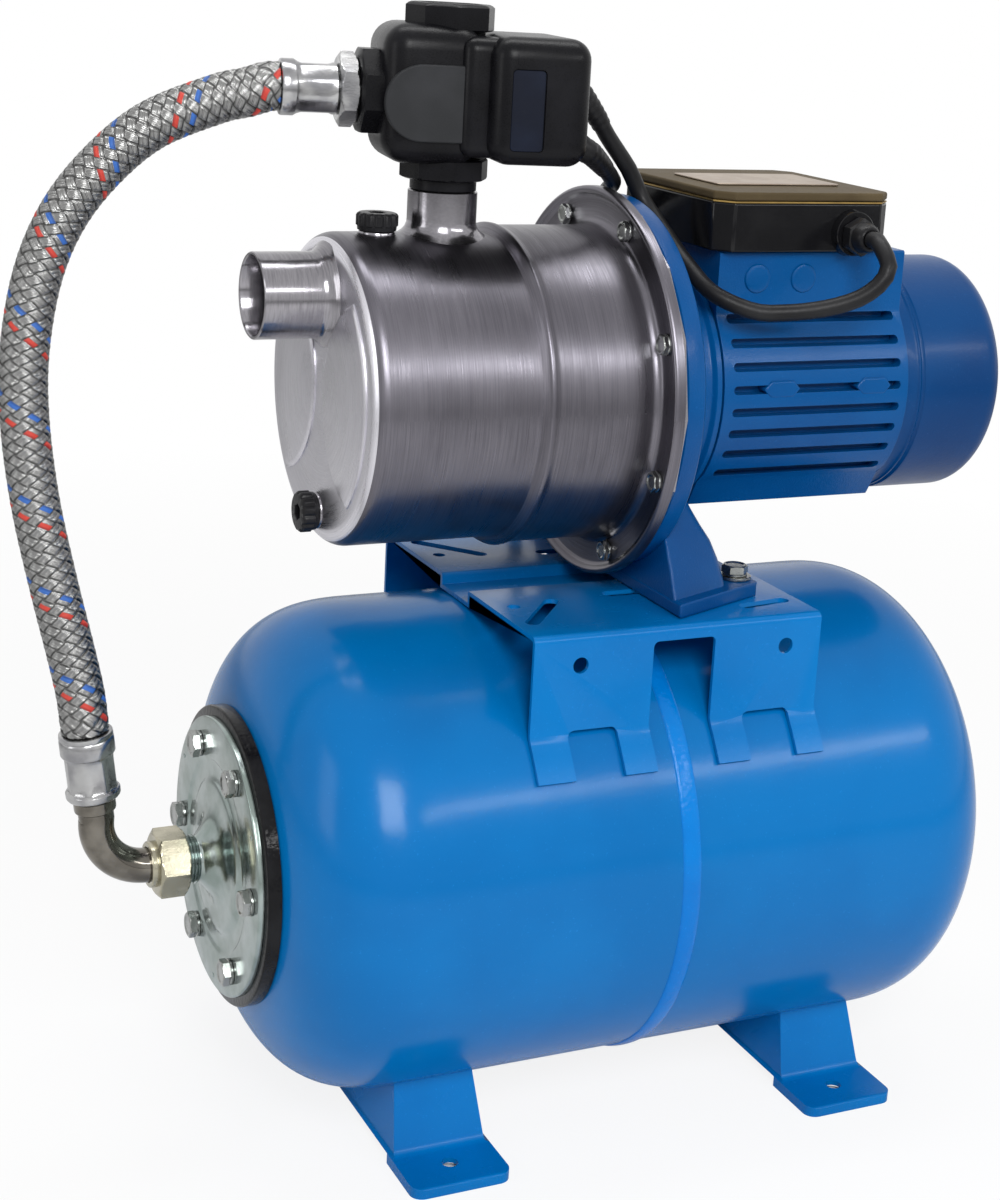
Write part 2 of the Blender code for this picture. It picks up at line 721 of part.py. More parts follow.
def foot_shape(name, outline, side_inset, material, frame):
    """A foot's outline across the tank, pulled along it and narrower towards the top."""
    bm = bmesh.new()
    ends = []
    for side in (-1, 1):
        verts = []
        for y, z in outline:
            rise = (z - PAD_THICKNESS) / (LEG_TOP_Z - PAD_THICKNESS)
            half = PAD_HALF_WIDTH
            if rise > 0:
                half = LEG_FOOT_HALF_WIDTH + (LEG_TOP_HALF_WIDTH - LEG_FOOT_HALF_WIDTH) * rise
            half -= side_inset
            verts.append(bm.verts.new((side * half, y, z)))
        bm.faces.new(verts)
        ends.append(verts)
    bridge(bm, *ends)
    return make_object(name, bm, material, frame)


def mirrored(half):
    """An outline's left half, from its lowest point up, and its mirror image about y = 0."""
    return list(half) + [(-y, z) for y, z in reversed(half)]


def tank_foot(name, centre, paint, frame):
    """A pressed saddle: a hollow bridge under the tank that ends in two lipped pads."""
    sheet = FOOT_SHEET
    body = foot_shape(name, mirrored([
        (-PAD_REACH, 0), (-PAD_REACH, PAD_THICKNESS - 2), (-PAD_REACH + 2, PAD_THICKNESS),
        (-LEG_FOOT_Y - 2, PAD_THICKNESS), (-LEG_FOOT_Y, PAD_THICKNESS + 2),
        (-LEG_TOP_Y, LEG_TOP_Z)]), 0, paint, frame)
    void = foot_shape(name + "_void", mirrored([
        (-PAD_REACH + sheet, -1), (-PAD_REACH + sheet, PAD_THICKNESS - sheet),
        (-LEG_FOOT_Y + sheet, PAD_THICKNESS - sheet), (-LEG_TOP_Y + sheet, LEG_TOP_Z + 1)]),
        sheet, paint, frame)
    span = LEG_FOOT_Y - sheet - 1
    under = extruded(name + "_under", box_outline((-span, -2), (span, PAD_THICKNESS)),
                     -PAD_HALF_WIDTH - 5, PAD_HALF_WIDTH + 5, paint, frame)
    tank = turned(name + "_tank", [(-60, 0), (-60, TANK_RADIUS + SKIN_CLEARANCE),
                                   (60, TANK_RADIUS + SKIN_CLEARANCE), (60, 0)],
                  paint, frame, (0, 0, TANK_HEIGHT), steps=2 * LARGE_STEPS)
    holes = drills(name + "_holes", ((0, -FOOT_HOLE_Y), (0, FOOT_HOLE_Y)), FOOT_HOLE_RADIUS,
                   -5, 20, paint, frame, axis="Z")
    for piece in (body, void, under, tank, holes):
        piece.location.x = centre * MM
    for tool in (void, under, tank, holes):
        cut(body, tool)


# Pump bracket

def bracket_slot(name, start, end, half_width, paint, frame):
    """A cutter for a slot with round ends in the bracket's platform."""
    way = math.degrees(math.atan2(end[1] - start[1], end[0] - start[0]))
    outline = arc(start, half_width, way + 90, way + 270, 3)
    outline += arc(end, half_width, way - 90, way + 90, 3)
    return extruded(name, outline, PLATFORM_Z - 8, PLATFORM_Z + 5, paint, frame, axis="Z")


def pump_bracket(paint, frame):
    """One bent sheet: tabs welded to the tank, two walls, two platforms and a low middle."""
    tabs = []
    for step in range(3):
        angle = math.radians(TAB_LOW_ANGLE + (TAB_HIGH_ANGLE - TAB_LOW_ANGLE) * step / 2)
        tabs.append((-TAB_REACH * math.cos(angle), TANK_HEIGHT + TAB_REACH * math.sin(angle)))
    half = tabs + [(-BRACKET_WALL_Y, WALL_FOOT_Z)]
    half += arc((-BRACKET_WALL_Y + 4, PLATFORM_Z - 4), 4, 180, 90, 2)
    half += [(-VALLEY_Y - 1.5, PLATFORM_Z), (-VALLEY_Y, PLATFORM_Z - 1.5), (-VALLEY_Y, VALLEY_Z)]
    outline = sheet_outline(mirrored(half), BRACKET_SHEET)
    sheet = extruded("pump_bracket", outline, -BRACKET_HALF_LENGTH, BRACKET_HALF_LENGTH,
                     paint, frame)
    across = BRACKET_WALL_Y + 20
    openings = []
    for number, x in enumerate(WINDOW_CENTRES):
        outline = [(x - WINDOW_HALF_WIDTH, CUTOUT_START_Z), (x + WINDOW_HALF_WIDTH, CUTOUT_START_Z)]
        outline += arc((x + WINDOW_HALF_WIDTH - 4, WINDOW_TOP_Z - 4), 4, 0, 90, 2)
        outline += arc((x - WINDOW_HALF_WIDTH + 4, WINDOW_TOP_Z - 4), 4, 90, 180, 2)
        openings.append(extruded(f"bracket_window_{number}", outline, -across, across,
                                 paint, frame, axis="Y"))
    notch = box_outline((NOTCH_CENTRE - NOTCH_HALF_WIDTH, CUTOUT_START_Z),
                        (NOTCH_CENTRE + NOTCH_HALF_WIDTH, NOTCH_TOP_Z))
    for side in (-1, 1):
        openings.append(extruded(f"bracket_notch_{side + 1}", notch, side * (VALLEY_Y + 20),
                                 side * across, paint, frame, axis="Y"))
        end = "front" if side < 0 else "back"
        slots = (
            ((-76, side * 80), (-50, side * 48), 4.0),
            ((-12, side * 43), (12, side * 43), 4.5),
            ((51, side * 83), (76, side * 79), 4.0),
            ((-74, side * 52), (-74.1, side * 52), 3.5),
            ((FOOT_BOLT_X, side * FOOT_BOLT_Y), (FOOT_BOLT_X - 0.1, side * FOOT_BOLT_Y),
             FOOT_BOLT_RADIUS + 1),
        )
        for number, (start, stop, half_width) in enumerate(slots):
            openings.append(bracket_slot(f"bracket_{end}_slot_{number}", start, stop, half_width,
                                         paint, frame))
    openings.append(drills("bracket_wall_holes",
                           [(x, WALL_HOLE_Z) for x in WALL_HOLES_X],
                           WALL_HOLE_RADIUS, -across, across, paint, frame, axis="Y"))
    seam = SEAM_WIDTH / 2 + SEAM_RISE + 2
    openings.append(extruded("bracket_seam_slot",
                             box_outline((-seam, VALLEY_Z - 10), (seam, VALLEY_Z + 1)),
                             -VALLEY_Y + 3, VALLEY_Y - 3, paint, frame, axis="Y"))
    cut(sheet, *openings)
    sheet.data.set_sharp_from_angle(angle=math.radians(BRACKET_SHARP_ANGLE))


# Pump casing

def lens_outline(side):
    """The pressed lens on the casing's face: an inner and an outer arc that meet in two tips."""
    points = []
    for low, high, middle in ((-1, 1, LENS_OUTER_Y), (1, -1, LENS_INNER_Y)):
        sagitta = middle - LENS_TIP_Y
        radius = (LENS_HALF_HEIGHT ** 2 + sagitta ** 2) / (2 * abs(sagitta))
        centre = middle - math.copysign(radius, sagitta)
        for step in range(8):
            z = LENS_HALF_HEIGHT * (low + (high - low) * step / 8)
            y = centre + math.copysign(math.sqrt(radius ** 2 - z ** 2), sagitta)
            points.append((side * y, z))
    return points


def casing_bolt_places(height=0.0):
    return bolt_ring(CASING_BOLTS, CASING_BOLT_CIRCLE, height, first_angle=22.5)


def casing_corner(inset, steps):
    """The rounded edge between the casing's face and its side, from the face outwards."""
    fillet = CASING_FRONT_RADIUS - CASING_FACE_RADIUS
    middle = CASING_FACE_X + fillet
    return [(middle - x, CASING_FACE_RADIUS + y)
            for y, x in arc((0, 0), fillet - inset, 90, 0, steps)]


def casing_shell(steel, frame):
    """The outside of the deep-drawn shell as a solid: face, bead, swept foot and rolled rim."""
    flange = CASING_FLANGE_X
    side = CASING_REAR_RADIUS
    rim = CASING_FLANGE_RADIUS
    bead = CASING_BEAD_X
    profile = [(CASING_FACE_X, 0)] + casing_corner(0, 3) + [
        (bead - 5, CASING_FRONT_RADIUS), (bead - 1, side + 1.5), (bead + 5, side),
        (flange - 5, side), (flange - 2, side + 0.8), (flange, side + 2.5), (flange, rim - 5.5),
        (flange - 3, rim - 3.5), (flange - 3, rim - 1), (flange - 1, rim), (flange + 3, rim),
        (flange + 3, rim - 1.8), (flange + CASING_WALL, rim - 1.8), (flange + CASING_WALL, 0)]
    return turned("pump_casing", profile, steel, frame, (0, 0, PUMP_HEIGHT), steps=LARGE_STEPS)


def casing_void(steel, frame):
    wall = CASING_WALL
    bead = CASING_BEAD_X
    profile = [(CASING_FACE_X + wall, 0)] + casing_corner(wall, 2) + [
        (bead - 5, CASING_FRONT_RADIUS - wall), (bead + 5, CASING_REAR_RADIUS - wall),
        (CASING_FLANGE_X + 20, CASING_REAR_RADIUS - wall), (CASING_FLANGE_X + 20, 0)]
    return turned("casing_void", profile, steel, frame, (0, 0, PUMP_HEIGHT), steps=LARGE_STEPS)


def pump_casing(steel, frame):
    """The casing with its suction and delivery stubs, plug bosses and the two pressed lenses."""
    casing = casing_shell(steel, frame)
    face = CASING_FACE_X
    join(casing, *[extruded(f"casing_lens_{side + 1}", lens_outline(side), face - LENS_RISE,
                            face + 5, steel, frame, (0, 0, PUMP_HEIGHT)) for side in (-1, 1)])
    top = PUMP_HEIGHT + CASING_FRONT_RADIUS
    drain_z = PUMP_HEIGHT - DRAIN_DROP
    boss = PLUG_RADIUS - 1
    join(casing,
         turned("casing_suction", [
             (face + 9, 0), (face + 9, SUCTION_RADIUS + 8), (face - 1, SUCTION_RADIUS + 7),
             (face - 6, SUCTION_RADIUS + 2.5), (face - 9, SUCTION_RADIUS),
             (SUCTION_MOUTH_X, SUCTION_RADIUS), (SUCTION_MOUTH_X, 0)],
             steel, frame, (0, 0, PUMP_HEIGHT + SUCTION_RISE), steps=ROUND_STEPS),
         turned("casing_delivery", [
             (top - 9, 0), (top - 9, DELIVERY_RADIUS + 6), (top - 1, DELIVERY_RADIUS + 5),
             (top + 4, DELIVERY_RADIUS), (DELIVERY_TOP_Z, DELIVERY_RADIUS), (DELIVERY_TOP_Z, 0)],
             steel, frame, (DELIVERY_X, 0, 0), axis="Z", steps=ROUND_STEPS),
         turned("casing_filler_boss", [(top - 9, 0), (top - 9, boss), (top + 1, boss),
                                       (top + 1, 0)],
                steel, frame, (FILLER_X, 0, 0), axis="Z"),
         turned("casing_drain_boss", [(face + 9, 0), (face + 9, boss), (face - 1, boss),
                                      (face - 1, 0)],
                steel, frame, (0, 0, drain_z)))
    cut(casing, casing_void(steel, frame))
    plug_bore = PLUG_SHANK_RADIUS + CLEARANCE
    cut(casing,
        drills("suction_bore", ((0, PUMP_HEIGHT + SUCTION_RISE),), SUCTION_RADIUS - PORT_WALL,
               SUCTION_MOUTH_X - 5, face + 20, steel, frame, steps=ROUND_STEPS),
        drills("delivery_bore", ((DELIVERY_X, 0),), DELIVERY_RADIUS - PORT_WALL, top - 15,
               DELIVERY_TOP_Z + 5, steel, frame, axis="Z", steps=ROUND_STEPS),
        drills("filler_bore", ((FILLER_X, 0),), plug_bore, top - 15, top + 10, steel, frame,
               axis="Z"),
        drills("drain_bore", ((0, drain_z),), plug_bore, face - 8, face + 20, steel, frame),
        drills("casing_flange_holes", casing_bolt_places(PUMP_HEIGHT),
               CASING_BOLT_RADIUS + CLEARANCE, CASING_FLANGE_X - 10, CASING_FLANGE_X + 10,
               steel, frame, steps=BOLT_STEPS))


def plugs(black, frame):
    """The two screw plugs: a fluted-looking round head over a plain shank."""
    seat = CLEARANCE
    profile = [(-6, 0), (-6, PLUG_SHANK_RADIUS),
               (seat, PLUG_SHANK_RADIUS), (seat, PLUG_RADIUS - 1.5), (seat + 3, PLUG_RADIUS, 12),
               (PLUG_HEAD - 1, PLUG_RADIUS, 12), (PLUG_HEAD, PLUG_RADIUS - 1), (PLUG_HEAD, 4),
               (PLUG_HEAD - 3, 4), (PLUG_HEAD - 3, 0)]
    turned("filler_plug", profile, black, frame,
           (FILLER_X, 0, PUMP_HEIGHT + CASING_FRONT_RADIUS + 1), axis="Z", steps=NUT_STEPS)
    turned("drain_plug", [(-along, *rest) for along, *rest in profile], black, frame,
           (CASING_FACE_X - 1, 0, PUMP_HEIGHT - DRAIN_DROP), steps=NUT_STEPS)


# Pump internals

def seal_plate_x():
    """The front face of the seal plate, behind the casing's flange and its gasket."""
    return CASING_FLANGE_X + CASING_WALL + GASKET_THICKNESS + 2 * CLEARANCE


def lantern_face_x():
    return seal_plate_x() + SEAL_PLATE_THICKNESS + CLEARANCE


def seal_parts(rubber, steel, ceramic, frame):
    centre = (0, 0, PUMP_HEIGHT)
    front = CASING_FLANGE_X + CASING_WALL + CLEARANCE
    turned("casing_gasket", [(front, GASKET_INNER), (front, GASKET_OUTER),
                             (front + GASKET_THICKNESS, GASKET_OUTER),
                             (front + GASKET_THICKNESS, GASKET_INNER)],
           rubber, frame, centre, steps=LARGE_STEPS)
    face = seal_plate_x()
    back = face + SEAL_PLATE_THICKNESS
    seat_bore = 15.0
    plate = turned("seal_plate", [
        (face, 30), (face, SEAL_PLATE_RADIUS), (back, SEAL_PLATE_RADIUS), (back, 32),
        (back - 6, 24), (back - 6, seat_bore), (face - 6, seat_bore), (face - 6, 24)],
        steel, frame, centre, steps=SMALL_STEPS)
    cut(plate, drills("seal_plate_holes", casing_bolt_places(PUMP_HEIGHT),
                      CASING_BOLT_RADIUS + CLEARANCE, face - 5, back + 5, steel, frame,
                      steps=BOLT_STEPS))
    turned("seal_seat", [(face - 8, 9.5), (face - 8, 19), (face - 6 - CLEARANCE, 19),
                         (face - 6 - CLEARANCE, seat_bore - CLEARANCE),
                         (back - 6, seat_bore - CLEARANCE), (back - 6, 9.5)],
           ceramic, frame, centre)


def diffuser(plastic, frame):
    """A plastic cup against the seal plate, round the impeller, with the venturi tube in front."""
    front = DIFFUSER_X
    rear = seal_plate_x() - CLEARANCE
    turned("diffuser", [
        (VENTURI_X, VENTURI_BORE + 1), (VENTURI_X, VENTURI_RADIUS), (front - 14, VENTURI_RADIUS + 2),
        (front - 3, 24), (front - 3, DIFFUSER_RADIUS - 6), (front, DIFFUSER_RADIUS),
        (rear, DIFFUSER_RADIUS), (rear, DIFFUSER_RADIUS - 4), (front + 2, DIFFUSER_RADIUS - 6),
        (front + 2, 20), (front - 14, VENTURI_BORE + 2.5), (VENTURI_X + 18, VENTURI_BORE)],
        plastic, frame, (0, 0, PUMP_HEIGHT), steps=SMALL_STEPS)


def ejector(plastic, brass, frame):
    """The suction chamber behind the casing's face, and the nozzle that points into the venturi."""
    front, rear = EJECTOR_X

    def stadium(radius):
        return arc((0, SUCTION_RISE), radius, 0, 180, 8) + arc((0, 0), radius, 180, 360, 8)

    centre = (0, 0, PUMP_HEIGHT)
    body = extruded("ejector_body", stadium(EJECTOR_RADIUS), front, rear, plastic, frame, centre)
    cut(body, extruded("ejector_void", stadium(EJECTOR_RADIUS - EJECTOR_WALL), front - 2,
                       rear - EJECTOR_WALL, plastic, frame, centre))
    cut(body, drills("ejector_hole", ((0, PUMP_HEIGHT),), 9.0, rear - 8, rear + 5, plastic, frame))
    flange = rear - EJECTOR_WALL - CLEARANCE
    turned("nozzle", [(flange - 3, 6.5), (flange - 3, 12), (flange, 12), (flange, 8.5),
                      (rear + 2, 8.5), (rear + 6, 5.2), (rear + 6, 3.6), (rear, 5)],
           brass, frame, centre, steps=SMALL_STEPS)


def rotor_group(brass, steel, iron, plastic, ceramic, frame):
    """Everything that turns, drawn round the shaft's axis."""
    axle = make_empty("shaft_axis", (0, 0, PUMP_HEIGHT), parent=frame)
    front = IMPELLER_X - IMPELLER_WIDTH / 2
    rear = IMPELLER_X + IMPELLER_WIDTH / 2
    tip = rear + 1
    fan_end = FAN_X + FAN_WIDTH
    turned("shaft", [
        (tip, 0), (tip, 4.5), (-30, 4.5), (-30, 6.5), (8, 6.5), (8, SHAFT_RADIUS),
        (FRONT_BEARING_X + BEARING_WIDTH + 4, SHAFT_RADIUS),
        (FRONT_BEARING_X + BEARING_WIDTH + 4, 10), (REAR_BEARING_X - 4, 10),
        (REAR_BEARING_X - 4, SHAFT_RADIUS), (FAN_X - 3, SHAFT_RADIUS), (FAN_X - 3, 6),
        (fan_end, 6), (fan_end, 0)], steel, axle)
    impeller = turned("impeller", impeller_profile(front, rear), brass, axle)
    join(impeller, *[impeller_blade(f"impeller_blade_{number}", front, rear - 1.5,
                                    360 * number / IMPELLER_BLADES, brass, axle)
                     for number in range(IMPELLER_BLADES)])
    face = seal_plate_x() - 8 - CLEARANCE
    turned("seal_head", [(-30 + CLEARANCE, 7.0), (-30 + CLEARANCE, 13), (-26, 17),
                         (face - 3, 17), (face, 15), (face, 7.0)], ceramic, axle)
    low, high = STATOR_X
    turned("rotor", [(low, 10 + CLEARANCE), (low, STATOR_BORE - 1), (high, STATOR_BORE - 1),
                     (high, 10 + CLEARANCE)], iron, axle)
    cooling_fan(plastic, axle)


def impeller_profile(front, rear):
    """The impeller's hub and back disc; its blades stand on the disc."""
    return [
        (front + 3, 0), (front + 3, 11), (rear - 2.5, 11), (rear - 2.5, IMPELLER_RADIUS),
        (rear, IMPELLER_RADIUS), (rear, 12), (rear + 8, 12), (rear + 8, 4.5 + CLEARANCE),
        (rear + 1 - CLEARANCE, 4.5 + CLEARANCE), (rear + 1 - CLEARANCE, 0)]


def impeller_blade(name, start, end, turn, material, axle):
    """One backward-curved blade, drawn as a bent strip across the shaft."""
    path = []
    for step in range(6):
        share = step / 5
        radius = 15 + (IMPELLER_RADIUS - 17) * share
        angle = math.radians(turn - 75 * share)
        path.append((radius * math.cos(angle), radius * math.sin(angle)))
    return extruded(name, sheet_outline(path, 2.2), start, end, material, axle)


def cooling_fan(plastic, axle):
    """A hub and straight blades on a back disc; flat blades blow alike in both directions."""
    hub = 16.0
    fan = turned("cooling_fan", [
        (FAN_X, 6 + CLEARANCE), (FAN_X, FAN_RADIUS - 12), (FAN_X + 2.5, FAN_RADIUS - 12),
        (FAN_X + 2.5, hub), (FAN_X + FAN_WIDTH, hub - 2), (FAN_X + FAN_WIDTH, 6 + CLEARANCE)],
        plastic, axle, steps=SMALL_STEPS)
    blades = []
    for number in range(FAN_BLADES):
        spin = Matrix.Rotation(math.radians(360 * (number + 0.5) / FAN_BLADES), 2)
        path = [tuple(spin @ Vector((radius, 0))) for radius in (hub - 3, FAN_RADIUS)]
        blades.append(extruded(f"fan_blade_{number}", sheet_outline(path, 2.4), FAN_X + 1,
                               FAN_X + FAN_WIDTH - 1, plastic, axle))
    join(fan, *blades)


# Motor

def lantern_leg(name, paint, frame):
    """The leg from the flange to the saddle: wide and long at its foot, narrow at its top."""
    bm = bmesh.new()
    rings = []
    for height, reach, front_half, rear_half in LEG_LEVELS:
        rings.append([bm.verts.new((x, y, height)) for x, y in (
            (LEG_FRONT_X, -front_half), (reach, -rear_half), (reach, rear_half),
            (LEG_FRONT_X, front_half))])
    bm.faces.new(rings[0])
    bm.faces.new(rings[-1])
    for first, second in zip(rings, rings[1:]):
        bridge(bm, first, second)
    return make_object(name, bm, paint, frame)


def motor_lantern(paint, frame):
    """The cast piece between pump and motor: flange, neck, bearing seat, leg, saddle and bolts."""
    face = lantern_face_x()
    flange_back = face + LANTERN_FLANGE_THICKNESS
    centre = (0, 0, PUMP_HEIGHT)
    bearing_end = FRONT_BEARING_X + BEARING_WIDTH
    neck = LANTERN_NECK_RADIUS
    seat = BEARING_RADIUS + CLEARANCE
    shoulder = FRONT_BEARING_X - CLEARANCE
    passage = SHAFT_RADIUS + 4
    lantern = turned("motor_lantern", [
        (face, 36), (face, LANTERN_FLANGE_RADIUS), (flange_back, LANTERN_FLANGE_RADIUS),
        (flange_back + 3, LANTERN_FLANGE_RADIUS - 6), (flange_back + 6, neck + 8),
        (flange_back + 10, neck), (LANTERN_END_X - 4, neck), (LANTERN_END_X - 4, neck + 3),
        (LANTERN_END_X, neck + 3), (LANTERN_END_X, neck - 6), (shoulder - 4, neck - 6),
        (shoulder - 4, seat + 6), (bearing_end, seat + 6), (bearing_end, seat), (shoulder, seat),
        (shoulder, passage), (flange_back, passage), (flange_back, 30)],
        paint, frame, centre, steps=LARGE_STEPS)
    low_z = PLATFORM_Z + CLEARANCE
    head = CASING_FLANGE_X - CLEARANCE
    bolt = [(head - 4, 0), (head - 4, CASING_BOLT_CORNER), (head, CASING_BOLT_CORNER),
            (head, CASING_BOLT_RADIUS), (face + 4, CASING_BOLT_RADIUS), (face + 4, 0)]
    join(lantern, lantern_leg("lantern_leg", paint, frame),
         *[turned(f"casing_bolt_{number}", bolt, paint, frame, (0, y, PUMP_HEIGHT + z),
                  steps=BOLT_STEPS) for number, (y, z) in enumerate(casing_bolt_places(), 1)])
    join(lantern, extruded("lantern_saddle", (
        (SADDLE_X[0], -SADDLE_HALF_WIDTHS[0]), (SADDLE_X[1], -SADDLE_HALF_WIDTHS[1]),
        (SADDLE_X[1], SADDLE_HALF_WIDTHS[1]), (SADDLE_X[0], SADDLE_HALF_WIDTHS[0])),
        low_z, low_z + SADDLE_THICKNESS, paint, frame, axis="Z"))
    cut(lantern, drills("saddle_holes", ((FOOT_BOLT_X, -FOOT_BOLT_Y), (FOOT_BOLT_X, FOOT_BOLT_Y)),
                        FOOT_BOLT_RADIUS + CLEARANCE, low_z - 5, low_z + SADDLE_THICKNESS + 5,
                        paint, frame, axis="Z"))


def frame_outline():
    """The motor frame's section: straight fins on both sides, a pedestal and a flat keel."""
    side = [(KEEL_HALF_WIDTH, KEEL_Z - PUMP_HEIGHT)]
    span = FIN_PITCH * (FIN_COUNT - 1) / 2
    side.append((math.sqrt(FIN_TIP_RADIUS ** 2 - (span + FIN_PITCH) ** 2) - 2,
                 -span - FIN_PITCH))
    for number in range(FIN_COUNT):
        middle = -span + number * FIN_PITCH
        for low, high in ((middle - FIN_THICKNESS / 2, middle + FIN_THICKNESS / 2),):
            root_low = math.sqrt(FIN_ROOT_RADIUS ** 2 - low ** 2)
            root_high = math.sqrt(FIN_ROOT_RADIUS ** 2 - high ** 2)
            side.append((root_low, low - 0.8))
            side.append((math.sqrt(FIN_TIP_RADIUS ** 2 - low ** 2), low))
            side.append((math.sqrt(FIN_TIP_RADIUS ** 2 - high ** 2), high))
            side.append((root_high, high + 0.8))
    foot = PEDESTAL_FOOT_Z - PUMP_HEIGHT
    side.append((PEDESTAL_HALF_WIDTH, foot - 1))
    side.append((PEDESTAL_HALF_WIDTH, PEDESTAL_TOP_Z - PUMP_HEIGHT))
    return side + [(-y, z) for y, z in reversed(side)]


def motor_frame(paint, frame):
    """The finned housing, bored for the stator, with two bosses on each flank's middle fins."""
    start, end = FRAME_X
    centre = (0, 0, PUMP_HEIGHT)
    body = extruded("motor_frame", frame_outline(), start, end, paint, frame, centre)
    bosses = [turned(f"frame_boss_{number}", [
        (-FIN_TIP_RADIUS - 0.4, 0), (-FIN_TIP_RADIUS - 0.4, 8, 8), (-60, 8, 8), (-60, 0)],
        paint, frame, (x, 0, PUMP_HEIGHT + 5), axis="Y") for number, x in enumerate(FRAME_BOSSES)]
    bosses += [turned(f"pedestal_boss_{number}", [
        (-PEDESTAL_HALF_WIDTH - 1.2, 0), (-PEDESTAL_HALF_WIDTH - 1.2, 7),
        (-PEDESTAL_HALF_WIDTH + 2, 8), (-PEDESTAL_HALF_WIDTH + 2, 0)],
        paint, frame, (x, 0, PEDESTAL_BOSS_Z), axis="Y") for number, x in enumerate(PEDESTAL_BOSSES)]
    join(body, *bosses)
    cut(body, drills("frame_bore", ((0, PUMP_HEIGHT),), FRAME_BORE, start - 5, end + 5,
                     paint, frame, steps=ROUND_STEPS))


def stator(iron, frame):
    """The laminated ring with its winding slots towards the rotor."""
    start, end = STATOR_X
    ring = turned("stator", [
        (start, STATOR_BORE), (start, FRAME_BORE - CLEARANCE - 0.3),
        (end, FRAME_BORE - CLEARANCE - 0.3), (end, STATOR_BORE)],
        iron, frame, (0, 0, PUMP_HEIGHT), steps=ROUND_STEPS)
    places = bolt_ring(STATOR_SLOTS, STATOR_BORE + 6, PUMP_HEIGHT)
    cut(ring, drills("stator_slots", places, 4.0, start - 5, end + 5, iron, frame,
                     steps=BOLT_STEPS))


def bearings(steel, frame):
    for name, x in (("front_bearing", FRONT_BEARING_X), ("rear_bearing", REAR_BEARING_X)):
        end = x + BEARING_WIDTH
        inner = SHAFT_RADIUS + CLEARANCE
        profile = [(x, inner), (x, BEARING_RADIUS), (end, BEARING_RADIUS), (end, inner)]
        turned(name, profile, steel, frame, (0, 0, PUMP_HEIGHT))


def rear_shield(paint, frame):
    """The end shield that closes the frame and holds the rear bearing, under the fan cover."""
    face = FRAME_X[1] + CLEARANCE
    seat = BEARING_RADIUS + CLEARANCE
    turned("rear_shield", [
        (face, seat), (face, FIN_ROOT_RADIUS + 1), (face + 4, FIN_ROOT_RADIUS + 1),
        (face + 5, 30), (REAR_BEARING_X + BEARING_WIDTH + 3, 25),
        (REAR_BEARING_X + BEARING_WIDTH + 3, SHAFT_RADIUS + 1.5),
        (REAR_BEARING_X + BEARING_WIDTH + CLEARANCE, SHAFT_RADIUS + 1.5),
        (REAR_BEARING_X + BEARING_WIDTH + CLEARANCE, seat)],
        paint, frame, (0, 0, PUMP_HEIGHT))


def fan_cover(paint, frame):
    """The pressed fan cover with a ridge round it and a ring of air slots in its end."""
    start, end = FAN_COVER_X
    wall = FAN_COVER_WALL
    radius = FAN_COVER_RADIUS
    corner = 13.0
    rounding = [(end - corner + corner * math.sin(math.radians(a)),
                 radius - corner + corner * math.cos(math.radians(a))) for a in (0, 30, 60, 90)]
    inner = [(x - wall * 0.9, r - wall) for x, r in rounding[1:]]
    profile = [(start, radius - 1.5), (FAN_RIDGE_X - 2, radius - 1.5), (FAN_RIDGE_X, radius),
               (FAN_RIDGE_X + 2, radius)] + rounding + [(end, 0), (end - wall, 0)]
    profile += inner[::-1] + [(FAN_RIDGE_X + 2, radius - wall), (FAN_RIDGE_X, radius - wall),
                              (FAN_RIDGE_X - 2, radius - wall - 1.5), (start, radius - wall - 1.5)]
    cover = turned("fan_cover", profile, paint, frame, (0, 0, PUMP_HEIGHT), steps=ROUND_STEPS)
    slots = bmesh.new()
    inner_radius, outer_radius = GRILLE_RADII
    half = GRILLE_SLOT_WIDTH / 2
    for number in range(GRILLE_SLOTS):
        spin = Matrix.Rotation(2 * math.pi * number / GRILLE_SLOTS, 2)
        outline = arc((inner_radius, 0), half, 90, 270, 2)
        outline += arc((outer_radius, 0), half, -90, 90, 2)
        rings = []
        for x in (end - 6, end + 4):
            rings.append([slots.verts.new((x, *(spin @ Vector(point)))) for point in outline])
        slots.faces.new(rings[0])
        slots.faces.new(rings[1])
        bridge(slots, *rings)
    cut(cover, make_object("grille_slots", slots, paint, frame, (0, 0, PUMP_HEIGHT)))


def foot_bolts(zinc, frame):
    """Bolt, washer and the nut under the platform; bolt and nut are one screwed piece."""
    low = PLATFORM_Z + CLEARANCE + SADDLE_THICKNESS
    washer = 1.6
    under = PLATFORM_Z - BRACKET_SHEET - CLEARANCE
    head = low + washer + 2 * CLEARANCE
    bolt = [(under - 6, 0), (under - 6, FOOT_BOLT_FLATS, 6), (under, FOOT_BOLT_FLATS, 6),
            (under, FOOT_BOLT_RADIUS), (head, FOOT_BOLT_RADIUS), (head, FOOT_BOLT_FLATS, 6),
            (head + 5, FOOT_BOLT_FLATS, 6), (head + 5.8, FOOT_BOLT_FLATS - 0.8), (head + 5.8, 0)]
    ring = [(low + CLEARANCE, FOOT_BOLT_RADIUS + CLEARANCE), (low + CLEARANCE, 9.5),
            (low + CLEARANCE + washer, 9.5), (low + CLEARANCE + washer,
                                              FOOT_BOLT_RADIUS + CLEARANCE)]
    for side, end in ((-1, "front"), (1, "back")):
        place = (FOOT_BOLT_X, side * FOOT_BOLT_Y, 0)
        turned(f"foot_bolt_{end}", bolt, zinc, frame, place, axis="Z", steps=NUT_STEPS)
        turned(f"foot_washer_{end}", ring, zinc, frame, place, axis="Z", steps=NUT_STEPS)


# Terminal box

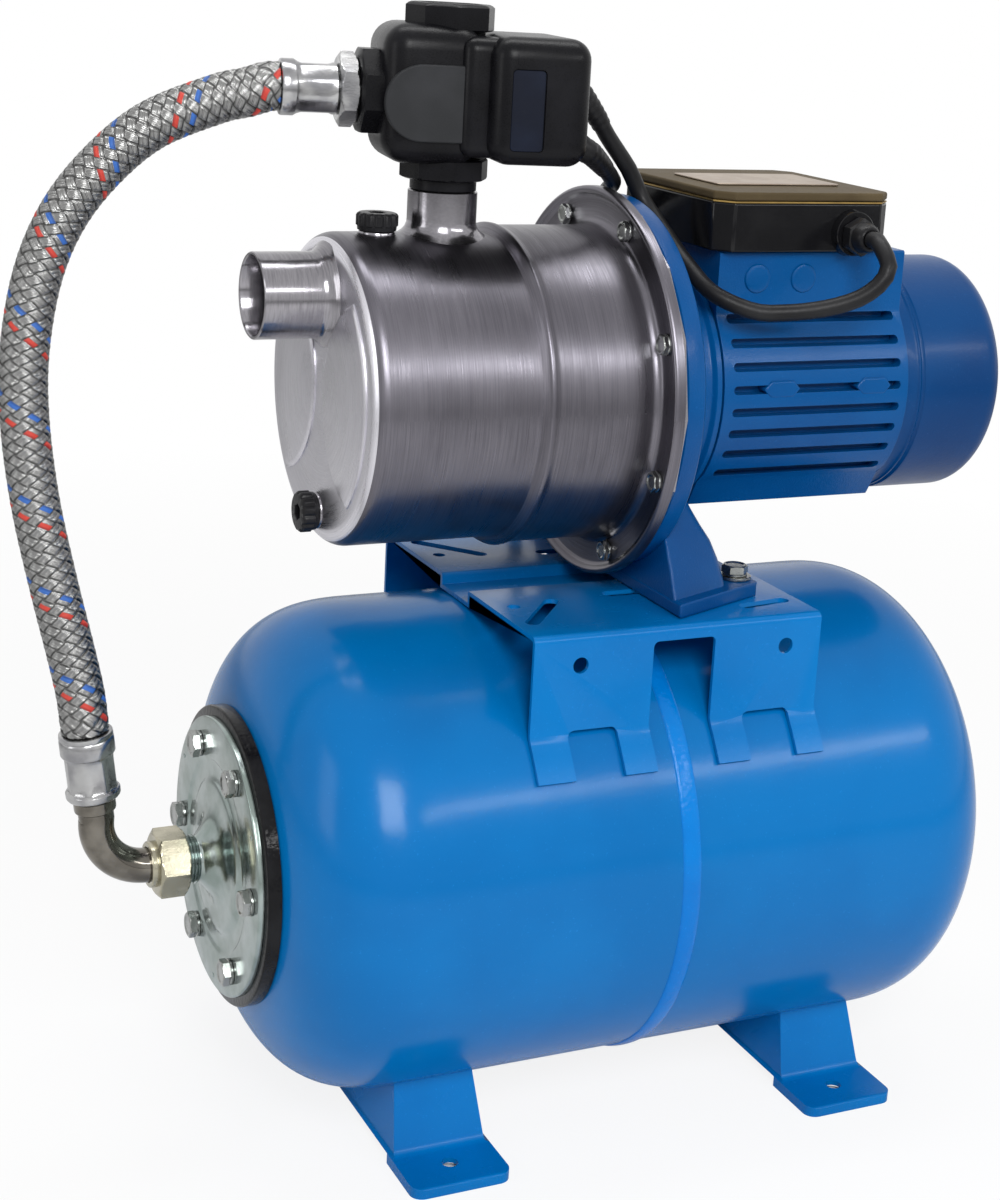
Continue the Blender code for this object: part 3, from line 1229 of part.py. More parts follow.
def box_with_corners(x_range, half_width, corner):
    """A rectangle seen from above with its four corners cut off."""
    low, high = x_range
    return ((low + corner, -half_width), (high - corner, -half_width), (high, -half_width + corner),
            (high, half_width - corner), (high - corner, half_width), (low + corner, half_width),
            (low, half_width - corner), (low, -half_width + corner))


def terminal_box(plastic, steel, brass, plate, frame):
    low, high = BOX_Z
    wall = BOX_WALL
    box = extruded("terminal_box", box_with_corners(BOX_X, BOX_HALF_WIDTH, BOX_CORNER), low, high,
                   plastic, frame, axis="Z")
    inside = (BOX_X[0] + wall, BOX_X[1] - wall)
    cut(box, extruded("terminal_box_void",
                      box_with_corners(inside, BOX_HALF_WIDTH - wall, BOX_CORNER - 1),
                      low + wall, high + 2, plastic, frame, axis="Z"))
    boss = turned("gland_boss", [
        (-BOX_HALF_WIDTH - 5, 0), (-BOX_HALF_WIDTH - 5, 12), (-BOX_HALF_WIDTH + 1, 13),
        (-BOX_HALF_WIDTH + 1, 0)], plastic, frame, (GLAND_X, 0, GLAND_Z + 1), axis="Y",
        steps=NUT_STEPS)
    join(box, boss)
    cut(box, drills("gland_hole", ((GLAND_X, GLAND_Z),), 6.5 + CLEARANCE, -BOX_HALF_WIDTH - 8,
                    -BOX_HALF_WIDTH + 6, plastic, frame, axis="Y"))
    lid_low = high + CLEARANCE
    extruded("terminal_lid", box_with_corners(BOX_X, BOX_HALF_WIDTH, BOX_CORNER), lid_low,
             lid_low + BOX_LID, plastic, frame, axis="Z", bevel=1.0, bevel_steps=1)
    length, width, thickness = RATING_PLATE
    middle = sum(BOX_X) / 2
    plate_low = lid_low + BOX_LID + CLEARANCE
    extruded("rating_plate", box_outline((middle - length / 2, -width / 2),
                                         (middle + length / 2, width / 2)),
             plate_low, plate_low + thickness, plate, frame, axis="Z")
    turned("cable_gland", [
        (-BOX_HALF_WIDTH + 4, LEAD_DIAMETER / 2 + CLEARANCE), (-BOX_HALF_WIDTH + 4, 6.5),
        (-BOX_HALF_WIDTH - 5 - CLEARANCE, 6.5), (-BOX_HALF_WIDTH - 5 - CLEARANCE, GLAND_RADIUS, 6),
        (-BOX_HALF_WIDTH - 13, GLAND_RADIUS, 6), (-BOX_HALF_WIDTH - 13, GLAND_RADIUS - 1),
        (-BOX_HALF_WIDTH - GLAND_REACH + 1, GLAND_RADIUS - 2),
        (-BOX_HALF_WIDTH - GLAND_REACH, GLAND_RADIUS - 3),
        (-BOX_HALF_WIDTH - GLAND_REACH, LEAD_DIAMETER / 2 + CLEARANCE)],
        plastic, frame, (GLAND_X, 0, GLAND_Z), axis="Y", steps=NUT_STEPS)
    floor = low + wall + CLEARANCE
    turned("capacitor", [
        (BOX_X[0] + 12, 0), (BOX_X[0] + 12, 11), (BOX_X[0] + 74, 11), (BOX_X[0] + 74, 0)],
        steel, frame, (0, 22, floor + 11), steps=SMALL_STEPS)
    extruded("terminal_block", box_outline((BOX_X[0] + 24, -34), (BOX_X[0] + 66, -18)), floor,
             floor + 14, brass, frame, axis="Z", bevel=1.5, bevel_steps=1)


# Pressure switch

def switch_axes(frame):
    """An empty at the delivery pipe's end; the switch is drawn square in it and turned."""
    return make_empty("switch_axes", (DELIVERY_X, 0, DELIVERY_TOP_Z), SWITCH_TURN, frame)


def pressure_switch(plastic, steel, axes):
    """The three-way body with its ports, and the plunger that reaches into the housing."""
    half = SWITCH_HALF_DEPTH
    flats = PORT_FLATS / 2
    body = extruded("switch_body", box_outline((-half, SWITCH_Z[0]), (half, SWITCH_Z[1])),
                    SWITCH_X[0], SWITCH_X[1], plastic, axes, bevel=SWITCH_ROUNDING, bevel_steps=3)
    pad = arc((FACE_PAD_X[0], FACE_PAD_Z), FACE_PAD_RADIUS, 90, 270, 8)
    pad += [(FACE_PAD_X[1], FACE_PAD_Z - FACE_PAD_RADIUS),
            (FACE_PAD_X[1], FACE_PAD_Z + FACE_PAD_RADIUS)]
    inside = SWITCH_ROUNDING
    neck = CLEARANCE
    reach = DELIVERY_RADIUS - 0.8
    top_start = HOUSING_Z[1] + CLEARANCE
    top = top_start + TOP_PORT_HEIGHT
    foot_end = HOUSING_Z[0] - CLEARANCE
    pipe = turned("switch_pipe", [
        (neck, 0), (neck, reach), (SWITCH_FOOT_Z, reach), (SWITCH_FOOT_Z, flats, 8),
        (foot_end, flats, 8), (foot_end, PIPE_RADIUS), (top_start, PIPE_RADIUS),
        (top_start, flats, 8), (top, flats, 8), (top, 0)],
        plastic, axes, axis="Z")
    pipe.rotation_euler.z = math.radians(180 / 8)
    waist = extruded("switch_waist", box_outline((-WAIST_HALF_DEPTH, WAIST_Z[0]),
                                                 (WAIST_HALF_DEPTH, WAIST_Z[1])),
                     -SWITCH_ROUNDING, SWITCH_X[1], plastic, axes)
    join(body, pipe)
    join(body, waist)
    join(body,
         turned("switch_side_port", [
             (SWITCH_LEFT_X, 0), (SWITCH_LEFT_X, flats - 0.6, 8),
             (SWITCH_X[0] + inside, flats - 0.6, 8), (SWITCH_X[0] + inside, 0)],
             plastic, axes, (0, 0, SWITCH_PORT_Z)),
         extruded("switch_face_pad", pad, -half - FACE_PAD_RISE, -half + 3, plastic, axes,
                  axis="Y"))
    cut(body, drills("switch_bore", ((0, 0),), PORT_BORE, neck - 5, top + 5,
                     plastic, axes, axis="Z", steps=SMALL_STEPS))
    cut(body,
        drills("switch_side_bore", ((0, SWITCH_PORT_Z),), PORT_BORE - 3, SWITCH_LEFT_X - 5, -3,
               plastic, axes, steps=SMALL_STEPS),
        drills("plunger_bore", ((0, SWITCH_PORT_Z),), PLUNGER_RADIUS + CLEARANCE, 3,
               PIPE_RADIUS + 3, plastic, axes))
    plate = HOUSING_X[0] + PLUNGER_PLATE
    turned("switch_plunger", [(PORT_BORE - 8, 0), (PORT_BORE - 8, PLUNGER_RADIUS),
                              (plate, PLUNGER_RADIUS), (plate, 10), (plate + 2, 10),
                              (plate + 2, 0)], steel, axes, (0, 0, SWITCH_PORT_Z))


def switch_cover(plastic, axes):
    """The electric housing: a rounded shell with a sunk window and two slanting lead exits."""
    front, back = -HOUSING_DEPTH[1], -HOUSING_DEPTH[0]
    cover = extruded("switch_cover", box_outline((front, HOUSING_Z[0]), (back, HOUSING_Z[1])),
                     HOUSING_X[0], HOUSING_X[1], plastic, axes, bevel=SWITCH_ROUNDING - 2,
                     bevel_steps=2)
    bosses = []
    bores = []
    for name, (y, z) in LEAD_EXITS.items():
        boss = turned(f"{name}_exit_boss", [
            (-6, 0), (-6, LEAD_EXIT_RADIUS), (LEAD_EXIT_LENGTH, LEAD_EXIT_RADIUS),
            (LEAD_EXIT_LENGTH, 0)], plastic, axes, (HOUSING_X[1], y, z))
        bore = drills(f"{name}_exit_bore", ((0, 0),), LEAD_DIAMETER / 2 + CLEARANCE, -16, 20,
                      plastic, axes)
        bore.location = boss.location
        for piece in (boss, bore):
            piece.rotation_euler.y = math.radians(LEAD_EXIT_TILT)
        bosses.append(boss)
        bores.append(bore)
    join(cover, *bosses)
    shell = HOUSING_WALL
    cut(cover,
        extruded("switch_cover_void", box_outline((front + shell, HOUSING_Z[0] + shell),
                                                  (back - shell, HOUSING_Z[1] - shell)),
                 HOUSING_X[0] + HOUSING_BASE, HOUSING_X[1] - shell, plastic, axes),
        extruded("switch_window", box_outline((WINDOW_X[0], WINDOW_Z[0]),
                                              (WINDOW_X[1], WINDOW_Z[1])),
                 front - 5, front + WINDOW_DEPTH, plastic, axes, axis="Y"))
    cut(cover, drills("plunger_gap", ((0, SWITCH_PORT_Z),), PLUNGER_RADIUS + 1, HOUSING_X[0] - 5,
                      HOUSING_X[0] + HOUSING_BASE + 5, plastic, axes))
    cut(cover, *bores,
        drills("switch_cover_notch", ((0, 0),), PIPE_RADIUS + 2 * CLEARANCE, HOUSING_Z[0] - 5,
               HOUSING_Z[1] + 5, plastic, axes, axis="Z", steps=ROUND_STEPS))


# Hose fittings

def hose_top(zinc, steel, axes):
    """The swivel nut on the switch's side port, and the crimped ferrule behind it."""
    place = (0, 0, SWITCH_PORT_Z)
    low, high = HOSE_NUT
    flats = FITTING_NUT_FLATS / 2
    stub = FERRULE_BORE + 2.2
    nut_bore = bore_for(stub, NUT_STEPS)
    turned("hose_nut", [(low, nut_bore), (low, flats - 3), (low + 4, flats, 6),
                        (high - 1, flats, 6), (high, flats - 1), (high, nut_bore)],
           zinc, axes, place, steps=NUT_STEPS)
    sleeve_start = low - CLEARANCE
    sleeve_end = sleeve_start - TOP_SLEEVE_LENGTH
    band_end = sleeve_end - TOP_BAND_LENGTH
    turned("top_ferrule", [
        (SWITCH_LEFT_X + 6, FERRULE_BORE), (SWITCH_LEFT_X + 6, stub), (sleeve_start, stub),
        (sleeve_start, FERRULE_SLEEVE_RADIUS), (sleeve_end, FERRULE_SLEEVE_RADIUS),
        (sleeve_end, FERRULE_BAND_RADIUS), (band_end, FERRULE_BAND_RADIUS),
        (band_end, FERRULE_BORE)], steel, axes, place)
    return band_end


def elbow_path():
    """The elbow's centre line in the upright plane: out of the nut, round and up with a lean."""
    centre = (ELBOW_X, TANK_HEIGHT + ELBOW_BEND)
    points = [(UNION_NUT_X[0] + 6, TANK_HEIGHT)]
    points += arc(centre, ELBOW_BEND, 270, 180 - ELBOW_LEAN, 6)
    x, z = points[-1]
    lean = math.radians(ELBOW_LEAN)
    points.append((x - ELBOW_RISE * math.sin(lean), z + ELBOW_RISE * math.cos(lean)))
    return points


def swept_pipe(name, path, outer, inner, material, parent):
    """A round pipe with a bore along a path in the upright plane, open at both ends."""
    bm = bmesh.new()
    rings = []
    for radius, order in ((outer, 1), (inner, -1)):
        for index in range(len(path))[::order]:
            before = Vector(path[max(index - 1, 0)])
            after = Vector(path[min(index + 1, len(path) - 1)])
            way = (after - before).normalized()
            side = Vector((-way.y, way.x))
            ring = []
            for step in range(NUT_STEPS):
                angle = 2 * math.pi * step / NUT_STEPS
                across = side * radius * math.cos(angle)
                ring.append(bm.verts.new((path[index][0] + across.x, radius * math.sin(angle),
                                          path[index][1] + across.y)))
            rings.append(ring)
    for first, second in zip(rings, rings[1:] + rings[:1]):
        bridge(bm, first, second)
    return make_object(name, bm, material, parent)


def hose_bottom(zinc, steel, chrome, frame):
    """The union nut on the nipple, the bent pipe, and the lower ferrule that leans with it."""
    low, high = UNION_NUT_X
    flats = FITTING_NUT_FLATS / 2
    mouth = bore_for(NIPPLE_RADIUS, NUT_STEPS)
    lip = bore_for(ELBOW_RADIUS, NUT_STEPS)
    seat = NIPPLE_END_X - 4
    turned("union_nut", [(low, lip), (low, flats - 1.5), (low + 1.5, flats, 6),
                         (high - 1.5, flats, 6), (high, flats - 1.5), (high, mouth),
                         (seat, mouth), (seat, lip)],
           zinc, frame, (0, 0, TANK_HEIGHT), steps=NUT_STEPS)
    path = elbow_path()
    pipe = swept_pipe("elbow", path, ELBOW_RADIUS, ELBOW_BORE, chrome, frame)
    end_x, end_z = path[-1]
    lean = make_empty("lower_ferrule_axis", (end_x, 0, end_z), parent=frame)
    lean.rotation_euler.y = math.radians(-ELBOW_LEAN)
    join(pipe, turned("elbow_collar", [
        (-7, ELBOW_BORE + 0.5), (-7, ELBOW_COLLAR_RADIUS - 0.5), (-5, ELBOW_COLLAR_RADIUS),
        (0, ELBOW_COLLAR_RADIUS), (0, ELBOW_BORE + 0.5)], chrome, lean, axis="Z", steps=NUT_STEPS))
    flange_end = CLEARANCE + BOTTOM_FLANGE_LENGTH
    sleeve_end = flange_end + BOTTOM_SLEEVE_LENGTH
    band_end = sleeve_end + BOTTOM_BAND_LENGTH
    turned("lower_ferrule", [
        (CLEARANCE, FERRULE_BORE), (CLEARANCE, FERRULE_SLEEVE_RADIUS), (CLEARANCE + 1,
                                                                       FERRULE_BAND_RADIUS),
        (flange_end, FERRULE_BAND_RADIUS), (flange_end, FERRULE_SLEEVE_RADIUS),
        (sleeve_end, FERRULE_SLEEVE_RADIUS), (sleeve_end, FERRULE_BAND_RADIUS),
        (band_end, FERRULE_BAND_RADIUS), (band_end, FERRULE_BORE)], steel, lean, axis="Z")
    return ferrule_point(band_end)


def ferrule_point(along):
    """A point on the lower ferrule's axis, at a distance from the elbow's end."""
    x, z = elbow_path()[-1]
    lean = math.radians(ELBOW_LEAN)
    return Vector((x - along * math.sin(lean), 0, z + along * math.cos(lean)))


def rigid_middle():
    """The middle of the set's length, from the lower ferrule's band to the air valve's cap."""
    length = BOTTOM_FLANGE_LENGTH + BOTTOM_SLEEVE_LENGTH + BOTTOM_BAND_LENGTH
    left = ferrule_point(CLEARANCE + length).x
    left -= FERRULE_BAND_RADIUS * math.cos(math.radians(ELBOW_LEAN))
    right = BLIND_END_STRAIGHT + BLIND_END_DISH + CLEARANCE + VALVE_CAP_LENGTH
    return (left + right) / 2


# Hose and leads

def from_switch(point):
    """A point drawn square to the switch, in the set's own frame."""
    turn = Matrix.Rotation(math.radians(SWITCH_TURN), 3, "Z")
    return turn @ Vector(point) + Vector((DELIVERY_X, 0, DELIVERY_TOP_Z))


def straight_end(start, way, *distances):
    """Points along the straight first stretch of a cord."""
    return [start + way.normalized() * distance for distance in distances]


def cords(braid, rubber, band_end, ferrule_end, frame):
    """The hose between its two ferrules, and the two leads out of the switch's housing."""
    start = from_switch((band_end, 0, SWITCH_PORT_Z))
    out = start - from_switch((0, 0, SWITCH_PORT_Z))
    lean = math.radians(ELBOW_LEAN)
    up = Vector((-math.sin(lean), 0, math.cos(lean)))
    hose = straight_end(start, out, CLEARANCE, 5) + list(HOSE_ROUTE)
    hose += straight_end(ferrule_end, up, 6, CLEARANCE)
    tube("hose", hose, HOSE_DIAMETER, braid, frame, 24.0, 3)

    tilt = math.radians(LEAD_EXIT_TILT)
    ends = {}
    for name, (y, z) in LEAD_EXITS.items():
        mouth = from_switch((HOUSING_X[1], y, z))
        far = from_switch((HOUSING_X[1] + math.cos(tilt), y, z - math.sin(tilt)))
        ends[name] = straight_end(mouth, far - mouth, LEAD_EXIT_LENGTH + CLEARANCE,
                                  LEAD_EXIT_LENGTH + 4)
    gland = Vector((GLAND_X, -BOX_HALF_WIDTH - GLAND_REACH, GLAND_Z))
    motor_lead = ends["motor"] + list(MOTOR_LEAD_ROUTE)
    motor_lead += straight_end(gland, Vector((0, -1, 0)), 6, CLEARANCE)
    tube("motor_lead", motor_lead, LEAD_DIAMETER, rubber, frame, 13.0)
    x, y = COIL_CENTRE
    lane = COIL_RADIUS + LEAD_DIAMETER / 2 + CLEARANCE
    coil_side = Vector((x + lane, y - coil_meets(lane - LEAD_DIAMETER / 2),
                        LEAD_DIAMETER / 2 + CLEARANCE))
    mains_lead = ends["mains"] + list(MAINS_LEAD_ROUTE)
    mains_lead += straight_end(coil_side, Vector((0, -1, 0)), 6, CLEARANCE)
    tube("mains_lead", mains_lead, LEAD_DIAMETER, rubber, frame, 22.0)


def coil_meets(offset, rise=0.0):
    """How far from the coil's middle its outside lies along a line at an offset from it."""
    past_corner = rise - COIL_SECTION / 2 + COIL_CHAMFER
    outer = COIL_RADIUS + COIL_SECTION / 2 - max(past_corner, 0)
    return math.sqrt(outer ** 2 - offset ** 2)


def coil_and_plug(rubber, plastic, frame):
    """The wound rest of the mains lead behind the tank, and the plug beside it."""
    half = COIL_SECTION / 2
    chamfer = COIL_CHAMFER
    inner = COIL_RADIUS - half
    outer = COIL_RADIUS + half
    x, y = COIL_CENTRE
    turned("mains_coil", [
        (0, inner + chamfer), (0, outer - chamfer), (chamfer, outer), (2 * half - chamfer, outer),
        (2 * half, outer - chamfer), (2 * half, inner + chamfer), (2 * half - chamfer, inner),
        (chamfer, inner)], rubber, frame, (x, y, CLEARANCE), axis="Z", steps=ROUND_STEPS)
    radius = PLUG_BODY_RADIUS
    lane = COIL_RADIUS + LEAD_DIAMETER / 2 + CLEARANCE
    aside = PLUG_TAIL_RADIUS * math.sqrt(0.5)
    tail = coil_meets(lane - aside, radius - aside - COIL_SECTION / 2) + 2 * CLEARANCE
    face = tail + PLUG_RELIEF_LENGTH + PLUG_BODY_LENGTH
    place = (x - lane, y, radius + CLEARANCE)
    body = turned("mains_plug", [
        (-tail, 0), (-tail, PLUG_TAIL_RADIUS), (-tail - PLUG_RELIEF_LENGTH, 7.5),
        (-tail - PLUG_RELIEF_LENGTH - 8, radius - 3), (-tail - PLUG_RELIEF_LENGTH - 14, radius - 1),
        (-face + 2, radius), (-face, radius - 1), (-face, 0)], plastic, frame, place, axis="Y")
    pin = [(-face + 4, 0), (-face + 4, PLUG_PIN_RADIUS),
           (-face - PLUG_PIN_LENGTH, PLUG_PIN_RADIUS), (-face - PLUG_PIN_LENGTH, 0)]
    join(body, *[turned(f"plug_pin_{side + 1}", pin, plastic, frame,
                        (place[0] + side * PLUG_PIN_SPREAD, y, place[2]), axis="Y", steps=8)
                 for side in (-1, 1)])


def build():
    clear_scene()
    tank_blue = make_material("tank_blue", (0.0, 0.18, 0.58), 0.25)
    motor_blue = make_material("motor_blue", (0.0, 0.09, 0.32), 0.35)
    stainless = make_material("stainless", (0.55, 0.54, 0.57), 0.3, 1.0)
    zinc = make_material("zinc_plate", (0.68, 0.7, 0.68), 0.3, 1.0)
    chrome = make_material("chrome", (0.75, 0.74, 0.72), 0.12, 1.0)
    black = make_material("black_plastic", (0.015, 0.015, 0.017), 0.35)
    rubber = make_material("black_rubber", (0.02, 0.02, 0.02), 0.6)
    brass = make_material("brass", (0.7, 0.5, 0.22), 0.35, 1.0)
    iron = make_material("lamination", (0.25, 0.25, 0.26), 0.5, 1.0)
    braid = make_material("braid", (0.6, 0.61, 0.62), 0.4, 1.0)
    noryl = make_material("pump_plastic", (0.12, 0.12, 0.13), 0.5)
    ceramic = make_material("ceramic", (0.75, 0.73, 0.7), 0.3)
    plate = make_material("plate", (0.5, 0.47, 0.4), 0.4, 1.0)

    frame = make_empty("set_frame", (-rigid_middle(), 0, 0))
    tank_shell(tank_blue, frame)
    tank_collar(black, frame)
    flange_cover(zinc, frame)
    cover_bolts(zinc, frame)
    bladder(rubber, frame)
    air_valve(brass, black, frame)
    for name, centre in FOOT_PLACES.items():
        tank_foot(name, centre, tank_blue, frame)
    pump_bracket(tank_blue, frame)

    pump_casing(stainless, frame)
    plugs(black, frame)
    seal_parts(rubber, stainless, ceramic, frame)
    diffuser(noryl, frame)
    ejector(noryl, brass, frame)
    rotor_group(brass, stainless, iron, noryl, ceramic, frame)

    motor_lantern(motor_blue, frame)
    motor_frame(motor_blue, frame)
    stator(iron, frame)
    bearings(stainless, frame)
    rear_shield(motor_blue, frame)
    fan_cover(motor_blue, frame)
    foot_bolts(zinc, frame)
    terminal_box(black, zinc, brass, plate, frame)

    axes = switch_axes(frame)
    pressure_switch(black, stainless, axes)
    switch_cover(black, axes)
    band_end = hose_top(zinc, stainless, axes)
    ferrule_end = hose_bottom(zinc, stainless, chrome, frame)
    cords(braid, rubber, band_end, ferrule_end, frame)
    coil_and_plug(rubber, black, frame)


build()
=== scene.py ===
"""Looks of the booster pump set: finishes, smooth shells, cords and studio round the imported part.

Lengths are millimetres in the set's own frame, which has x = 0 at the tank's weld seam, y = 0 in
the upright plane of both axes and z = 0 on the floor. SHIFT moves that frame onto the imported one.
"""

import math

import bmesh
import bpy
from mathutils import Matrix, Vector

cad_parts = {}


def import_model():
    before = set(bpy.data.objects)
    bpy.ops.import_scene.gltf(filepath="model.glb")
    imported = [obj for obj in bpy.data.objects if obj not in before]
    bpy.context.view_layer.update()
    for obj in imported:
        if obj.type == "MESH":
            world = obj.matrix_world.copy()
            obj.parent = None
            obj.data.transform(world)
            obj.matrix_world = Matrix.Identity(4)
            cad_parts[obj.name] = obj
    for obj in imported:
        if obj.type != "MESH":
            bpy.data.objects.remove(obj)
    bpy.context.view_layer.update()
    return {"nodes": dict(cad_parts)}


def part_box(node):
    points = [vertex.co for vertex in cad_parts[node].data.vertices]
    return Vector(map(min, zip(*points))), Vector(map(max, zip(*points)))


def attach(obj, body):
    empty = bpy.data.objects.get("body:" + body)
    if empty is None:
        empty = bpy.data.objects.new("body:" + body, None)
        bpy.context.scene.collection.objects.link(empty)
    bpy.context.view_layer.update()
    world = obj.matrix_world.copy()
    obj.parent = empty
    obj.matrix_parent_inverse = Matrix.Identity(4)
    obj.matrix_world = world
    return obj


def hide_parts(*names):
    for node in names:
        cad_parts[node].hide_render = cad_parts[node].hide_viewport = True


MM = 0.001
FINE = 180
ROUND = 72
SMALL = 40

# Tank
TANK_RADIUS = 135.0
TANK_HEIGHT = 155.0
TANK_AXIS = (0, 0, TANK_HEIGHT)
FLANGE_STRAIGHT, FLANGE_DISH, FLANGE_POWER = 130.0, 85.0, 3.0
BLIND_STRAIGHT, BLIND_DISH, BLIND_POWER = 150.0, 73.0, 2.6
SEAM_RISE = 1.4
SEAM_HALF = 4.0
MOUTH_RADIUS = 44.0
COVER_FACE_X = -219.7
COVER_RADIUS = 76.0
COLLAR_RADIUS = 81.5
COLLAR_BORE = 52.0
COVER_BOLTS = 6
COVER_BOLT_CIRCLE = 62.0
NIPPLE_RADIUS = 13.2
NIPPLE_END_X = -246.0
THREAD_PITCH = 1.8
VALVE_CAP_START = BLIND_STRAIGHT + BLIND_DISH + 0.3
VALVE_CAP_END = VALVE_CAP_START + 21.0

# Feet and bracket
FOOT_PLACES = {"foot_left": -117.6, "foot_right": 125.9}
PAD_REACH = 122.0
PAD_HALF_WIDTH = 28.5
PAD_THICKNESS = 6.0
LEG_FOOT_Y = 86.0
LEG_TOP_Y = 73.0
LEG_TOP_Z = 46.8
FOOT_HOLE_Y = 102.0
FOOT_HOLE_RADIUS = 4.5
PLATFORM_Z = 299.8
BRACKET_SHEET = 2.4
BRACKET_HALF_LENGTH = 86.0
BRACKET_WALL_Y = 104.9
WINDOW_TOP_Z = 247.3
NOTCH_TOP_Z = 291.9
WALL_HOLE_Z = 282.8
WALL_HOLE_RADIUS = 4.4
WALL_HOLES_X = (-59.0, 64.4)
WINDOWS_X = (-50.0, 54.5)
# Slots of a platform: both ends of the middle line, and half the width
PLATFORM_SLOTS = (
    ((-76, 80), (-50, 48), 4.0), ((-12, 43), (12, 43), 4.5), ((51, 83), (76, 79), 4.0),
    ((-74, 52), (-74.1, 52), 3.5), ((57, 58), (56.9, 58), 5.0),
)
FOOT_BOLT_PLACE = (57.0, 58.0)

# Pump
PUMP_HEIGHT = 410.0
PUMP_AXIS = (0, 0, PUMP_HEIGHT)
FACE_X = -168.0
FACE_RADIUS = 73.0
FRONT_RADIUS = 82.0
REAR_RADIUS = 85.5
FLANGE_RADIUS = 106.8
CASING_BOLTS = 8
CASING_BOLT_CIRCLE = 94.5
CASING_BOLT_TURN = 22.5
SUCTION_MOUTH_X = -206.0
SUCTION_RISE = 50.0
SUCTION_RADIUS = 22.4
PIPE_WALL = 2.0
DELIVERY_X = -103.6
DELIVERY_RADIUS = 18.2
DELIVERY_TOP_Z = 514.3
FILLER_X = -139.5
DRAIN_DROP = 65.0
PLUG_BORE = 7.3

# Motor
LANTERN_FACE_X = -5.7
FRAME_X = (36.0, 154.0)
FIN_TIP = 68.0
FIN_ROOT = 60.5
FIN_PITCH = 12.2
FIN_THICKNESS = 7.6
PEDESTAL_HALF = 52.0
PEDESTAL_TOP_Z = 488.7
KEEL_HALF = 38.0
KEEL_Z = 345.3
FRAME_BORE = 56
FRAME_BOSSES_X = (72.0, 131.0)
PEDESTAL_BOSSES_X = (60.0, 89.0)
PEDESTAL_BOSS_RISE = 64
AIR_SLOTS = 12
FAN_COVER_X = (154.3, 222.0)
BOX_X = (30.5, 140.5)
BOX_HALF_WIDTH = 58.5
BOX_Z = (489.0, 516.0)
GLAND_PLACE = (113.0, 0.0, 498.5)

# Pressure switch: heights above the delivery pipe's end, turned about that pipe
SWITCH_TURN = -10.5
PORT_Z = 49.5
BODY_X = (-37.5, 14.0)
BODY_Z = (14.7, 84.7)
BODY_HALF = 29.0
HOUSING_X = (14.3, 66.0)
HOUSING_Y = (-46.0, 32.0)
HOUSING_Z = (17.3, 81.3)
LEAD_EXITS = {"motor": (3.0, 56.7), "mains": (-11.0, 28.7)}
LEAD_EXIT_TILT = 35.0

# Cords and their fittings
HOSE_RADIUS = 12.5
NUT_FLATS = 16.5
HOSE_NUT = (-57.5, -47.8)
UNION_NUT = (-257.0, -234.0)
UNION_PHASE = math.pi / 6
ELBOW_RADIUS = 9.3
ELBOW_BEND = 27.0
ELBOW_X = -257.5
ELBOW_RISE = 12.0
ELBOW_LEAN = 7.0
LEAD_DIAMETER = 9.2
COIL_CENTRE = (5.0, 264.0)
PLUG_RADIUS = 19.0

HOSE_ROUTE = (
    (-204.4, 20.3, 560.0),
    (-218.5, 25.0, 555.9),
    (-249.5, 33.0, 541.6),
    (-273.0, 38.5, 520.8),
    (-292.1, 41.5, 495.2),
    (-304.8, 42.0, 464.9),
    (-311.9, 40.0, 427.0),
    (-313.0, 35.5, 391.8),
    (-309.6, 28.0, 351.5),
    (-302.8, 19.0, 311.2),
    (-295.9, 9.5, 275.8),
    (-292.4, 3.0, 255.0),
)
MOTOR_LEAD_ROUTE = (
    (-20.0, -8.0, 554.0),
    (-11.6, -5.0, 543.9),
    (3.8, -2.0, 526.6),
    (9.7, -2.0, 516.3),
    (14.4, -6.0, 506.5),
    (21.5, -26.0, 488.0),
    (23.5, -40.0, 479.5),
    (28.5, -60.0, 467.9),
    (46.8, -73.0, 460.0),
    (64.0, -80.0, 460.2),
    (78.0, -86.0, 462.5),
    (90.0, -91.0, 466.0),
    (100.0, -95.5, 471.0),
    (108.0, -98.5, 478.5),
    (112.3, -98.0, 487.5),
)
MAINS_LEAD_ROUTE = (
    (-30.0, -22.5, 536.6),
    (-22.0, -17.0, 531.6),
    (-13.0, -8.0, 526.5),
    (-4.0, 3.0, 521.5),
    (5.0, 18.0, 516.5),
    (11.5, 40.0, 508.0),
    (15.0, 66.0, 489.0),
    (16.0, 90.0, 462.0),
    (15.5, 106.0, 430.0),
    (14.0, 117.0, 392.0),
    (12.0, 125.0, 352.0),
    (10.5, 131.0, 312.0),
    (11.0, 136.0, 272.0),
    (13.5, 140.5, 232.0),
    (17.5, 144.0, 192.0),
    (22.5, 146.0, 152.0),
    (28.5, 147.5, 112.0),
    (35.5, 150.0, 76.0),
    (43.0, 156.5, 44.0),
    (51.0, 171.0, 18.0),
    (57.0, 192.0, 6.0),
    (59.4, 212.0, 4.9),
)

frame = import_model()
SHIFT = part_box("valve_cap")[1][0] / MM - VALVE_CAP_END


# Shader nodes

